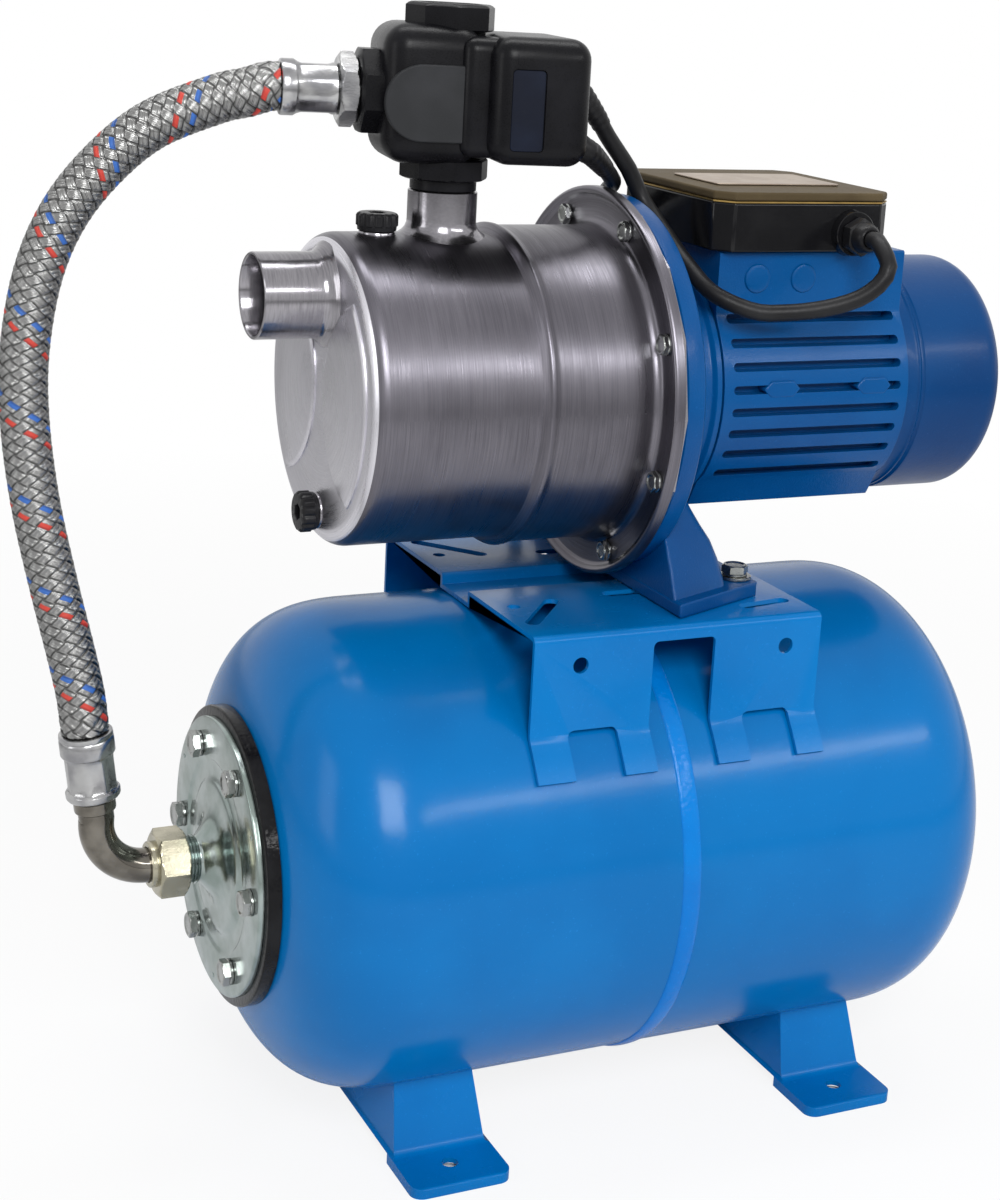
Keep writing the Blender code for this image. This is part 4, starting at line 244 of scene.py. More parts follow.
class Wire:
    """An output of a shader node that takes part in plain arithmetic."""

    def __init__(self, nodes, socket):
        self.nodes = nodes
        self.socket = socket

    def math(self, operation, *values):
        return self.nodes.node("ShaderNodeMath", {"operation": operation}, dict(enumerate(values)))

    def __add__(self, other):
        return self.math("ADD", self, other)

    def __sub__(self, other):
        return self.math("SUBTRACT", self, other)

    def __rsub__(self, other):
        return self.math("SUBTRACT", other, self)

    def __mul__(self, other):
        return self.math("MULTIPLY", self, other)

    __radd__ = __add__
    __rmul__ = __mul__

    def above(self, level):
        return self.math("GREATER_THAN", self, level)

    def sine(self):
        return self.math("SINE", self)

    def absolute(self):
        return self.math("ABSOLUTE", self)

    def ramp(self, low, high):
        """0 below low, 1 above high and smooth between them."""
        return self.nodes.node("ShaderNodeMapRange", {"interpolation_type": "SMOOTHSTEP"},
                               {"Value": self, "From Min": low, "From Max": high})


class Nodes:
    """A node tree with short ways to add its nodes and to link them."""

    def __init__(self, tree):
        self.tree = tree

    def node(self, kind, settings=None, sockets=None, output=0):
        made = self.tree.nodes.new(kind)
        for key, value in (settings or {}).items():
            setattr(made, key, value)
        for key, value in (sockets or {}).items():
            self.link(made.inputs[key], value)
        return Wire(self, made.outputs[output])

    def link(self, target, value):
        if isinstance(value, Wire):
            self.tree.links.new(value.socket, target)
        elif isinstance(value, tuple) and len(value) == 3 and len(target.default_value) == 4:
            target.default_value = (*value, 1.0)
        else:
            target.default_value = value

    def rays(self, kind):
        return self.node("ShaderNodeLightPath", output=f"Is {kind} Ray")

    def across(self, operation, *vectors):
        """One number worked out from vectors, such as a length or a distance."""
        return self.node("ShaderNodeVectorMath", {"operation": operation},
                         dict(enumerate(vectors)), "Value")

    def place(self):
        return self.node("ShaderNodeTexCoord", output="Object")

    def parts(self, vector):
        return [self.node("ShaderNodeSeparateXYZ", None, {0: vector}, axis) for axis in range(3)]

    def vector(self, x, y, z):
        return self.node("ShaderNodeCombineXYZ", None, {0: x, 1: y, 2: z})

    def noise(self, scale, detail=3.0, vector=None, roughness=0.5):
        return self.node("ShaderNodeTexNoise", None, {
            "Vector": vector or self.place(), "Scale": scale, "Detail": detail,
            "Roughness": roughness}, "Fac")

    def mix(self, factor, low, high):
        return self.node("ShaderNodeMix", {"data_type": "RGBA"}, {0: factor, 6: low, 7: high}, 2)

    def bump(self, height, distance, strength=1.0, normal=None):
        sockets = {"Height": height, "Distance": distance * MM, "Strength": strength}
        if normal:
            sockets["Normal"] = normal
        return self.node("ShaderNodeBump", None, sockets)


class Finish(Nodes):
    """A surface finish: one Principled shader, the numbers set on it and the nodes that feed it."""

    def __init__(self, name, **numbers):
        self.material = bpy.data.materials.new(name)
        self.material.use_nodes = True
        super().__init__(self.material.node_tree)
        self.shader = self.tree.nodes["Principled BSDF"]
        self.feed(**numbers)

    def feed(self, **values):
        for socket, value in values.items():
            self.link(self.shader.inputs[socket.replace("_", " ")], value)
        return self


# Finishes

def paint(name, colour, deep, roughness, grain, grain_depth, peel=0.05, gloss=0.14):
    """Sprayed enamel: two near shades in clouds, orange peel and the casting's grain under it."""
    finish = Finish(name, Specular_IOR_Level=gloss, Coat_Roughness=0.12, Coat_IOR=1.4)
    clouds = finish.noise(9.0, 4.0)
    specks = finish.noise(700.0, 2.0).ramp(0.66, 0.74)
    shade = finish.mix(clouds.ramp(0.35, 0.65), deep, colour)
    shade = finish.mix(specks * 0.25, shade, tuple(min(1.0, value * 1.6 + 0.02) for value in colour))
    rough = roughness + (finish.noise(60.0, 3.0) - 0.5) * 0.12
    ground = finish.bump(finish.noise(grain, 4.0), grain_depth)
    normal = finish.bump(finish.noise(260.0, 1.0), peel, 1.0, ground)
    return finish.feed(Base_Color=shade, Roughness=rough, Coat_Weight=clouds * 0.12,
                       Normal=normal)


def spun_metal(name, colour, dark, roughness, scratch=0.03, stain=0.35):
    """Sheet metal polished round its own X axis: fine rings, broad clouds and a few stains."""
    finish = Finish(name)
    x, y, z = finish.parts(finish.place())
    across = finish.across("LENGTH", finish.vector(0.0, y, z))
    turn = z.math("ARCTAN2", z, y)
    rings = finish.noise(1.0, 4.0, finish.vector(x * 1500.0, turn * 2.2, across * 1500.0), 0.62)
    bands = finish.noise(1.0, 2.0, finish.vector(x * 160.0, turn * 1.2, across * 160.0))
    clouds = finish.noise(16.0, 4.0)
    shade = finish.mix(clouds.ramp(0.3, 0.7) * stain + rings.ramp(0.3, 0.75) * (0.75 - stain),
                       colour, dark)
    rough = roughness + (rings - 0.5) * 0.22 + (bands - 0.5) * 0.16
    return finish.feed(Base_Color=shade, Roughness=rough, Metallic=1.0 - clouds * 0.04,
                       Normal=finish.bump(rings, scratch))


def plated(name, colour, tint, roughness, pit=0.03):
    """Bright plated steel: a tint that drifts over it, soft clouds of dullness and tiny pits."""
    finish = Finish(name)
    drift = finish.noise(70.0, 3.0)
    dull = finish.noise(220.0, 4.0)
    shade = finish.mix(drift.ramp(0.35, 0.65), colour, tint)
    return finish.feed(Base_Color=shade, Roughness=roughness + (dull - 0.4) * 0.2,
                       Metallic=1.0 - dull * 0.06,
                       Normal=finish.bump(finish.noise(900.0, 3.0), pit))


def moulded(name, colour, pale, roughness, grain=1400.0, depth=0.04, gloss=0.16):
    """Moulded plastic or rubber: a fine spark-eroded grain and faint handling marks."""
    finish = Finish(name, Specular_IOR_Level=gloss)
    clouds = finish.noise(35.0, 4.0)
    specks = finish.noise(grain, 2.0)
    shade = finish.mix(clouds.ramp(0.4, 0.75), colour, pale)
    rough = roughness + (specks - 0.5) * 0.25 + (clouds - 0.5) * 0.12
    return finish.feed(Base_Color=shade, Roughness=rough, Normal=finish.bump(specks, depth))


def braid_wire(name, along, colour, dark, metallic=1.0, roughness=0.2):
    """Flat bundles of thin wires: along is the coordinate that counts strands across them. The colour
    holds painted shade between the wires and at each strand's edges, and a painted highlight on its
    crown.
    """
    finish = Finish(name)
    strands = finish.node("ShaderNodeUVMap", {"uv_map": "strands"})
    across = finish.parts(strands)[along]
    wires = (across * (2 * math.pi * 8)).sine() * 0.5 + 0.5
    painted_crown_light = (across * math.pi).sine().absolute()
    worn = finish.noise(90.0, 3.0)
    # Painted shade in the grooves between wires and at strand edges, a painted highlight on the crowns;
    # worn adds random wear.
    shade = finish.mix(wires.ramp(0.05, 0.8) * 0.25 + painted_crown_light.ramp(0.15, 0.75) * 0.6 + worn * 0.15,
                       dark, colour)
    return finish.feed(Base_Color=shade, Roughness=roughness + (worn - 0.5) * 0.3,
                       Metallic=metallic - worn * 0.04, Normal=finish.bump(wires, 0.12))


TANK_BLUE = paint("tank_enamel", (0.0, 0.150, 0.440), (0.0, 0.130, 0.395), 0.2, 40.0, 0.02)
MOTOR_BLUE = paint("motor_enamel", (0.0, 0.072, 0.245), (0.0, 0.054, 0.200), 0.3, 850.0, 0.14)
FAN_BLUE = paint("fan_enamel", (0.0, 0.045, 0.165), (0.0, 0.034, 0.135), 0.32, 850.0, 0.1)
SHEET_BLUE = paint("sheet_enamel", (0.0, 0.165, 0.480), (0.0, 0.138, 0.420), 0.26, 60.0, 0.03)
# The bead gets a lighter copy of the tank's enamel: a painted highlight along the seam.
WELD = paint("weld_bead_painted_highlight_enamel", (0.0, 0.200, 0.620), (0.0, 0.150, 0.520), 0.14, 420.0, 0.35, 0.2)
STEEL = spun_metal("spun_stainless", (0.165, 0.158, 0.18), (0.055, 0.052, 0.064), 0.31)
# A far lighter copy of the casing's steel, for its face and lenses: a painted highlight.
FACE_STEEL_PAINTED_HIGHLIGHT = spun_metal("pressed_face_stainless_painted_highlight", (0.70, 0.69, 0.735), (0.46, 0.45, 0.49), 0.3)
PIPE_STEEL = spun_metal("welded_pipe_stainless", (0.34, 0.33, 0.35), (0.12, 0.115, 0.13), 0.18, 0.02)
ZINC = plated("zinc_plate", (0.33, 0.38, 0.37), (0.24, 0.29, 0.27), 0.17)
BOLT_ZINC = plated("bolt_zinc", (0.34, 0.35, 0.34), (0.24, 0.25, 0.24), 0.18)
NUT_ZINC = plated("yellow_zinc_nut", (0.46, 0.43, 0.33), (0.34, 0.32, 0.24), 0.22)
CHROME = plated("nickel_elbow", (0.20, 0.185, 0.16), (0.12, 0.11, 0.095), 0.09, 0.01)
FERRULE = plated("pressed_ferrule", (0.42, 0.42, 0.42), (0.26, 0.26, 0.27), 0.2, 0.05)
BRASS = plated("turned_brass", (0.62, 0.44, 0.18), (0.52, 0.35, 0.13), 0.3)
IRON = plated("laminations", (0.20, 0.20, 0.21), (0.14, 0.14, 0.15), 0.5)
BLACK = moulded("black_plastic", (0.008, 0.008, 0.009), (0.014, 0.014, 0.016), 0.34)
GLOSS_BLACK = moulded("gloss_black_box", (0.006, 0.006, 0.007), (0.010, 0.010, 0.011), 0.14, 900.0,
                      0.01, 0.2)
SATIN_BLACK = moulded("satin_black_switch", (0.004, 0.004, 0.005), (0.008, 0.008, 0.010), 0.30,
                      gloss=0.12)
GREY_PAD = moulded("matt_pad", (0.018, 0.019, 0.021), (0.026, 0.027, 0.030), 0.5)
WINDOW = moulded("sunk_window", (0.006, 0.008, 0.016), (0.010, 0.014, 0.028), 0.16, 500.0, 0.01)
LACQUER = moulded("black_lacquer_ring", (0.004, 0.004, 0.005), (0.012, 0.012, 0.013), 0.14, 420.0,
                  0.2, 0.14)
LID = moulded("olive_brown_lid", (0.070, 0.052, 0.028), (0.095, 0.072, 0.040), 0.5, gloss=0.05)
PLATE = plated("bare_plate", (0.36, 0.30, 0.24), (0.30, 0.24, 0.19), 0.4, 0.01)
GOLD = plated("brass_trim", (0.40, 0.27, 0.09), (0.30, 0.20, 0.07), 0.35, 0.01)
RUBBER = moulded("cord_rubber", (0.009, 0.009, 0.010), (0.017, 0.017, 0.018), 0.4, 900.0, 0.05)
BAG = moulded("bag_rubber", (0.02, 0.02, 0.02), (0.035, 0.035, 0.034), 0.6, 500.0, 0.1)
NORYL = moulded("pump_plastic", (0.02, 0.02, 0.022), (0.035, 0.035, 0.038), 0.45, 1000.0, 0.05)
CERAMIC = moulded("seal_ceramic", (0.55, 0.53, 0.50), (0.48, 0.46, 0.43), 0.25, 900.0, 0.01)
TIE = moulded("tie_strap", (0.010, 0.010, 0.011), (0.02, 0.02, 0.02), 0.3)
# The second, near-black colour of each braid and yarn finish is the painted shade between strands and
# wires.
BRAID = [braid_wire(f"braid_{name}", along, (0.32, 0.32, 0.315), (0.006, 0.006, 0.006))
         for along, name in enumerate(("right", "left"))]
BLUE_YARN = braid_wire("braid_blue_yarn", 0, (0.03, 0.14, 0.50), (0.01, 0.05, 0.2), 0.0, 0.5)
RED_YARN = braid_wire("braid_red_yarn", 0, (0.60, 0.05, 0.03), (0.25, 0.01, 0.01), 0.0, 0.5)


# Meshes

def world(point):
    return Vector((point[0] + SHIFT, point[1], point[2])) * MM


def spun(degrees, axis):
    return Matrix.Rotation(math.radians(degrees), 4, axis)


def turned_to(place, turn=None):
    """A matrix for a piece drawn round its own origin in millimetres."""
    return Matrix.Translation(world(place)) @ (turn or Matrix.Identity(4))


def add_object(name, data):
    made = bpy.data.objects.new(name, data)
    bpy.context.collection.objects.link(made)
    return made


def make_piece(name, bm, finish, nodes=(), body="set", place=(0, 0, 0), turn=None, sharp=32.0):
    """An object from a mesh in millimetres; it rides on a body and stands for CAD nodes."""
    bmesh.ops.scale(bm, vec=(MM, MM, MM), verts=bm.verts)
    bmesh.ops.recalc_face_normals(bm, faces=bm.faces)
    mesh = bpy.data.meshes.new(name)
    bm.to_mesh(mesh)
    bm.free()
    mesh.shade_smooth()
    if sharp:
        mesh.set_sharp_from_angle(angle=math.radians(sharp))
    for each in finish if isinstance(finish, (list, tuple)) else [finish]:
        mesh.materials.append(each.material)
    made = add_object(name, mesh)
    made.matrix_world = turned_to(place, turn)
    if nodes:
        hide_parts(*nodes)
    if body:
        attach(made, body)
    return made


def along_axis(axis, along, first, second):
    return {"X": (along, first, second), "Y": (first, along, second),
            "Z": (first, second, along)}[axis]


def polygon_stretch(angle, sides):
    half = math.pi / sides
    return 1.0 / math.cos((angle + half) % (2 * half) - half)


def bridge(bm, first, second):
    """Faces between two rings of vertices; a ring of one vertex is a point on the axis."""
    count = max(len(first), len(second))
    for step in range(count if count > 1 else 0):
        following = (step + 1) % count
        corners = (first[step % len(first)], first[following % len(first)],
                   second[following % len(second)], second[step % len(second)])
        bm.faces.new(list(dict.fromkeys(corners)))


def skin(bm, rings):
    """Walls from ring to ring of vertices, with a face over the first and the last."""
    for first, second in zip(rings, rings[1:]):
        bridge(bm, first, second)
    bm.faces.new(rings[0])
    bm.faces.new(rings[-1])


def lathe(bm, profile, axis="X", steps=ROUND, closed=True, centre=(0, 0), flutes=None, phase=0.0):
    """Adds a turned profile of (along, radius, polygon sides, radius limit) to a mesh.

    A limit rounds a polygon's corners, as the chamfer of a nut does. Flutes are (count, depth).
    """
    rings = []
    for along, radius, *shape in profile:
        ring = []
        for step in range(steps if radius else 1):
            angle = 2 * math.pi * step / steps
            reach = radius
            if shape and shape[0]:
                reach *= polygon_stretch(angle + phase, shape[0])
                if len(shape) > 1:
                    reach = min(reach, shape[1])
            elif flutes and len(shape) > 1:
                reach -= flutes[1] * (0.5 + 0.5 * math.cos(flutes[0] * angle)) ** 3
            ring.append(bm.verts.new(along_axis(
                axis, along, centre[0] + reach * math.cos(angle),
                centre[1] + reach * math.sin(angle))))
        rings.append((along, ring))
    pairs = list(zip(rings, rings[1:]))
    if closed:
        pairs.append((rings[-1], rings[0]))
    for (here, first), (there, second) in pairs:
        if here == there and 1 in (len(first), len(second)):
            if len(first) != len(second):
                bm.faces.new(max(first, second, key=len))
        else:
            bridge(bm, first, second)
    return rings


def moved(profile, along, radius=0.0):
    """A profile drawn from its own start, moved along its axis and outwards."""
    return [(x + along, reach + radius, *shape) for x, reach, *shape in profile]


def form(add, *details, **more):
    """A new mesh that holds one form."""
    bm = bmesh.new()
    add(bm, *details, **more)
    return bm


def turned(name, profile, finish, nodes=(), body="set", place=(0, 0, 0), turn=None, axis="X",
           steps=ROUND, flutes=None, phase=0.0, sharp=32.0):
    bm = form(lathe, profile, axis, steps, flutes=flutes, phase=phase)
    return make_piece(name, bm, finish, nodes, body, place, turn, sharp)


def drill(bm, low, high, radius, axis="Z", steps=SMALL, centre=(0, 0)):
    """Adds a plain round bar, with which holes are cut."""
    lathe(bm, [(low, 0), (low, radius), (high, radius), (high, 0)], axis, steps, False, centre)


def prism(bm, outline, start, end, axis="X", bevel=0.0, segments=3):
    """Adds a flat outline pulled along an axis, with rounded edges where asked."""
    near, far = ([bm.verts.new(along_axis(axis, along, *point)) for point in outline]
                 for along in (start, end))
    caps = [bm.faces.new(near), bm.faces.new(far)]
    before = set(bm.faces)
    bridge(bm, near, far)
    if bevel:
        faces = caps + [face for face in bm.faces if face not in before]
        bmesh.ops.recalc_face_normals(bm, faces=faces)
        edges = {edge for face in faces for edge in face.edges}
        bmesh.ops.bevel(bm, geom=list(edges), offset=bevel, segments=segments, profile=0.5,
                        affect="EDGES", clamp_overlap=True)


def extruded(name, outline, start, end, finish, nodes=(), body="set", place=(0, 0, 0), turn=None,
             axis="X", sharp=32.0):
    bm = form(prism, outline, start, end, axis)
    return make_piece(name, bm, finish, nodes, body, place, turn, sharp)


def tool(bm, place=(0, 0, 0), turn=None):
    """A cutter: a piece that rides on nothing and is removed once it has cut."""
    return make_piece("tool", bm, BLACK, body=None, place=place, turn=turn, sharp=0)


def settle(piece, sharp=32.0):
    """Writes a piece's modifiers into its mesh."""
    bpy.context.view_layer.update()
    depsgraph = bpy.context.evaluated_depsgraph_get()
    mesh = bpy.data.meshes.new_from_object(piece.evaluated_get(depsgraph))
    piece.modifiers.clear()
    piece.data = mesh
    mesh.shade_smooth()
    if sharp:
        mesh.set_sharp_from_angle(angle=math.radians(sharp))


def carve(piece, *tools, operation="DIFFERENCE", sharp=32.0):
    for cutter in tools:
        modifier = piece.modifiers.new("cut", "BOOLEAN")
        modifier.operation = operation
        modifier.object = cutter
    settle(piece, sharp)
    for cutter in tools:
        bpy.data.objects.remove(cutter, do_unlink=True)
    return piece


def soften(piece, width, segments=2, angle=32.0):
    """Rounds a piece's edges with a bevel that stays on it."""
    weld = piece.modifiers.new("weld", "WELD")
    weld.merge_threshold = 0.00002
    bevel = piece.modifiers.new("edge", "BEVEL")
    bevel.width = width * MM
    bevel.segments = segments
    bevel.limit_method = "ANGLE"
    bevel.angle_limit = math.radians(angle)
    bevel.use_clamp_overlap = True
    return piece


def arc(centre, radius, start, end, steps):
    points = []
    for step in range(steps + 1):
        angle = math.radians(start + (end - start) * step / steps)
        points.append((centre[0] + radius * math.cos(angle), centre[1] + radius * math.sin(angle)))
    return points


def rectangle(low, high):
    return [(low[0], low[1]), (high[0], low[1]), (high[0], high[1]), (low[0], high[1])]


def rounded_rectangle(low, high, radius, steps=6):
    x = (low[0] + radius, high[0] - radius)
    y = (low[1] + radius, high[1] - radius)
    outline = arc((x[0], y[0]), radius, 180, 270, steps)
    outline += arc((x[1], y[0]), radius, 270, 360, steps)
    outline += arc((x[1], y[1]), radius, 0, 90, steps)
    return outline + arc((x[0], y[1]), radius, 90, 180, steps)


def bolt_ring(count, circle, first_angle=0.0):
    angles = [math.radians(first_angle + 360.0 * number / count) for number in range(count)]
    return [(circle * math.cos(angle), circle * math.sin(angle)) for angle in angles]


def nut(low, high, flats, bore, limit=0.55):
    """A hexagon between two heights along its axis, both ends chamfered as on a lathe."""
    corner = flats / math.cos(math.pi / 6)
    face = flats - limit
    rise = (corner - face) / math.tan(math.radians(60)) + 0.01
    shares = (0.0, 0.25, 0.5, 0.75, 1.0)
    rings = [(low, bore), (low, face, 6, face)]
    for end, way, order in ((low, 1, shares), (high, -1, shares[::-1])):
        rings += [(end + way * rise * share, flats, 6, face + (corner - face) * share)
                  for share in order]
    return rings + [(high, face, 6, face), (high, bore)]


def hex_head(base, way, height, flats, washer=0.0):
    """A bolt head that stands on its base: an optional washer face, flats and a chamfered top."""
    corner = flats / math.cos(math.pi / 6)
    face = flats - 0.4
    rise = (corner - face) / math.tan(math.radians(60))
    rings = [(base, 0)]
    if washer:
        rings += [(base, washer), (base + way * 1.0, washer), (base + way * 1.4, washer - 0.6)]
    rings += [(base + way * (1.4 if washer else 0), flats, 6)]
    rings += [(base + way * (height - rise * share), flats, 6, face + (corner - face) * share)
              for share in (1.0, 0.66, 0.33, 0.0)]
    return rings + [(base + way * height, face - 0.6), (base + way * (height - 0.5), face - 1.6),
                    (base + way * (height - 0.5), 0)]


def finish_nodes(finish, *nodes):
    """Gives CAD nodes that stay in view or inside their finish."""
    for node in nodes:
        made = frame["nodes"][node]
        made.data.materials.clear()
        made.data.materials.append(finish.material)


# Paths

def smooth_route(points, spacing):
    """Points on a smooth curve through the route; its first and last stretch stay straight."""
    knots = [Vector(point) for point in points]
    fine = []
    for index in range(1, len(knots) - 2):
        before, start, end, after = knots[index - 1:index + 3]
        for step in range(20):
            t = step / 20
            fine.append(0.5 * (2 * start + (end - before) * t
                               + (2 * before - 5 * start + 4 * end - after) * t ** 2
                               + (3 * start - before - 3 * end + after) * t ** 3))
    fine.append(knots[-2])
    return [knots[0]] + evenly(fine, spacing) + [knots[-1]]


def path_length(points):
    return sum((b - a).length for a, b in zip(points, points[1:]))


def eased(share):
    return share * share * (3 - 2 * share)


def evenly(points, spacing):
    """The same line with its points a spacing apart, both ends kept."""
    length = path_length(points)
    count = max(2, round(length / spacing))
    even = [points[0]]
    travelled = 0.0
    for a, b in zip(points, points[1:]):
        step = (b - a).length
        while len(even) < count and travelled + step >= length * len(even) / count:
            share = (length * len(even) / count - travelled) / step
            even.append(a.lerp(b, share))
        travelled += step
    return even + [points[-1]]


def path_frames(points):
    """At each point of a line: the point, its way and two directions across it without twist."""
    frames = []
    side = None
    for index, point in enumerate(points):
        way = points[min(index + 1, len(points) - 1)] - points[max(index - 1, 0)]
        way.normalize()
        if side is None:
            side = way.orthogonal()
        side = (side - way * side.dot(way)).normalized()
        frames.append((point, way, side, way.cross(side)))
    return frames


def swept(name, points, radii, finish, nodes=(), steps=SMALL):
    """A round bar along a line whose radius changes from point to point."""
    bm = bmesh.new()
    rings = []
    for (point, _, side, other), radius in zip(path_frames(points), radii):
        ring = []
        for step in range(steps):
            angle = 2 * math.pi * step / steps
            ring.append(bm.verts.new(point + (side * math.cos(angle)
                                              + other * math.sin(angle)) * radius))
        rings.append(ring)
    skin(bm, rings)
    return make_piece(name, bm, finish, nodes)


def cord_curve(name, points, diameter, finish, nodes):
    """A round cord as one open poly curve with closed ends."""
    curve = bpy.data.curves.new(name, "CURVE")
    curve.dimensions = "3D"
    curve.bevel_depth = diameter / 2 * MM
    curve.bevel_resolution = 8
    curve.use_fill_caps = True
    spline = curve.splines.new("POLY")
    spline.points.add(len(points) - 1)
    for place, point in zip(spline.points, points):
        place.co = (*world(point), 1.0)
    curve.materials.append(finish.material)
    made = add_object(name, curve)
    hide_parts(*nodes)
    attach(made, "set")
    return made


SWITCH_PLACE = (DELIVERY_X, 0, DELIVERY_TOP_Z)
SWITCH_SPIN = spun(SWITCH_TURN, "Z")


def from_switch(point):
    """A point drawn square to the switch, in the set's own frame."""
    return SWITCH_SPIN @ Vector(point) + Vector(SWITCH_PLACE)


# Camera, studio and floor; lamps and floor are in metres

WORLD_LIGHT = 0.30
FLOOR_REACH = 6.0
# Radius of the painted shade spots on the floor under the feet's bolt holes.
PAINTED_SHADE_SPOT_RADIUS = 9.0


CAMERA_PLACE = (-542.888, -1042.635, 634.785)
CAMERA_YAW, CAMERA_DIP, CAMERA_ROLL = (math.radians(angle) for angle in (26.494, 14.612, 3.426))


def make_camera():
    """The photograph's view: its place, yaw, downward dip and slight roll."""
    ahead = Vector((math.sin(CAMERA_YAW) * math.cos(CAMERA_DIP),
                    math.cos(CAMERA_YAW) * math.cos(CAMERA_DIP), -math.sin(CAMERA_DIP)))
    level = Vector((math.cos(CAMERA_YAW), -math.sin(CAMERA_YAW), 0))
    above = level.cross(ahead)
    right = math.cos(CAMERA_ROLL) * level + math.sin(CAMERA_ROLL) * above
    up = math.cos(CAMERA_ROLL) * above - math.sin(CAMERA_ROLL) * level
    data = bpy.data.cameras.new("camera")
    data.lens = 64.573
    data.sensor_width = 36.0
    data.shift_x, data.shift_y = -0.0509, -0.0668
    data.clip_start = 0.01
    camera = add_object("camera", data)
    turn = Matrix((right, up, -ahead)).transposed().to_4x4()
    camera.matrix_world = Matrix.Translation(world(CAMERA_PLACE)) @ turn
    bpy.context.scene.camera = camera


# Lamps: name, place, what they point at, size and power
LAMPS = (
    ("key", (-0.55, -1.9, 1.55), (0.0, 0.0, 0.3), (0.8, 0.9), 34.0),
    ("strip", (0.85, -1.55, 1.2), (-0.05, 0.0, 0.4), (1.3, 0.16), 8.0),
    ("top", (0.1, 0.25, 1.9), (0.0, 0.0, 0.3), (1.4, 0.45), 13.0),
    ("left", (-1.9, -0.2, 0.8), (-0.1, 0.0, 0.3), (0.5, 1.0), 4.0),
)


def soft_lamp(name, place, target, size, power):
    data = bpy.data.lights.new(name, "AREA")
    data.shape = "RECTANGLE"
    data.size, data.size_y = size
    data.energy = power
    lamp = add_object(name, data)
    way = Vector(target) - Vector(place)
    lamp.location = place
    lamp.rotation_euler = way.to_track_quat("-Z", "Y").to_euler()


def make_studio():
    """Soft boxes round the set, and a world that is white to the eye and dim as a light."""
    for lamp in LAMPS:
        soft_lamp(*lamp)
    world_light = bpy.data.worlds.new("studio")
    bpy.context.scene.world = world_light
    world_light.use_nodes = True
    nodes = Nodes(world_light.node_tree)
    seen = nodes.rays("Camera") + nodes.rays("Glossy") + nodes.rays("Transmission")
    backdrop = nodes.tree.nodes["Background"]
    nodes.link(backdrop.inputs["Color"], (1.0, 1.0, 1.0))
    nodes.link(backdrop.inputs["Strength"], nodes.node("ShaderNodeMapRange", None, {
        "Value": seen, "To Min": WORLD_LIGHT, "To Max": 1.0}))
    bpy.context.scene.view_settings.view_transform = "Standard"


def make_floor():
    """A plain white floor: the eye sees it lit up to white, and the set's shadow stays on it.

    The glow leaves out spots under the feet's bolt holes, where the floor's own shaded diffuse shows:
    painted shade that darkens the holes.
    """
    cloth = Finish("white_floor", Base_Color=(0.93, 0.93, 0.93), Roughness=0.8,
                   Specular_IOR_Level=0.0)
    place = cloth.place()
    share = cloth.node("ShaderNodeMapRange", None, {
        "Value": cloth.across("LENGTH", place), "From Min": 0.5, "From Max": 1.6, "To Min": 0.86,
        "To Max": 1.0})
    # Painted shade: no glow in spots under the bolt holes.
    for centre in FOOT_PLACES.values():
        for y in (-FOOT_HOLE_Y, FOOT_HOLE_Y):
            shade_spot = cloth.across("DISTANCE", place, tuple(world((centre, y, 0))))
            share = share * shade_spot.above(PAINTED_SHADE_SPOT_RADIUS * MM)
    glow = cloth.node("ShaderNodeEmission", None, {"Strength": 1.0})
    blend = cloth.node("ShaderNodeMixShader", None, {
        0: cloth.rays("Camera") * share, 1: Wire(cloth, cloth.shader.outputs[0]), 2: glow})
    cloth.link(cloth.tree.nodes["Material Output"].inputs["Surface"], blend)
    mesh = bpy.data.meshes.new("floor")
    corners = [(x, y, 0) for x, y in rectangle((-FLOOR_REACH, -FLOOR_REACH),
                                               (FLOOR_REACH, FLOOR_REACH))]
    mesh.from_pydata(corners, [], [(0, 1, 2, 3)])
    mesh.materials.append(cloth.material)
    add_object("floor", mesh)


# Cords

def elbow_path(steps=20):
    """The elbow's centre line in the upright plane: out of the nut, round and up with a lean."""
    centre = (ELBOW_X, TANK_HEIGHT + ELBOW_BEND)
    points = [(UNION_NUT[0] + 6, TANK_HEIGHT)]
    points += arc(centre, ELBOW_BEND, 270, 180 - ELBOW_LEAN, steps)
    x, z = points[-1]
    lean = math.radians(ELBOW_LEAN)
    points.append((x - ELBOW_RISE * math.sin(lean), z + ELBOW_RISE * math.cos(lean)))
    return [Vector((x, 0, z)) for x, z in points]


FERRULE_START = elbow_path()[-1]
FERRULE_SPIN = spun(-ELBOW_LEAN, "Y")
BOTTOM_SLEEVE = (5.3, 25.3, 37.3)
TOP_SLEEVE = (-57.8, -78.8, -86.8)


def hose_line():
    start = from_switch((TOP_SLEEVE[2], 0, PORT_Z))
    out = (start - from_switch((0, 0, PORT_Z))).normalized()
    lean = math.radians(ELBOW_LEAN)
    up = Vector((-math.sin(lean), 0, math.cos(lean)))
    end = FERRULE_START + up * BOTTOM_SLEEVE[2]
    points = [start + out * 0.3, start + out * 5] + [Vector(point) for point in HOSE_ROUTE]
    points += [end + up * 6, end + up * 0.3]
    return smooth_route(points, 2.0)


STRANDS = 7
STRAND_LEAD = 47.5
STRAND_STEPS = 8


def crossing(a, b):
    """Where a place lies across strands each way, and whether the right-hand one is on top."""
    u, v = a / STRAND_STEPS, b / STRAND_STEPS
    return u, v, (math.floor(u) + math.floor(v)) % 2 == 0


def strand_height(a, b):
    """How far the braid stands out at a place counted in steps across right and left strands."""
    u, v, over_right = crossing(a, b)
    across, lengthwise = (u % 1, v % 1) if over_right else (v % 1, u % 1)
    edge = min(across, 1 - across, lengthwise, 1 - lengthwise)
    if edge < 0.001:
        return -0.85
    halves = abs(math.sin(2 * math.pi * across)) ** 0.5
    return -0.85 + 0.55 * halves + 0.3 * math.sin(math.pi * lengthwise) ** 0.7


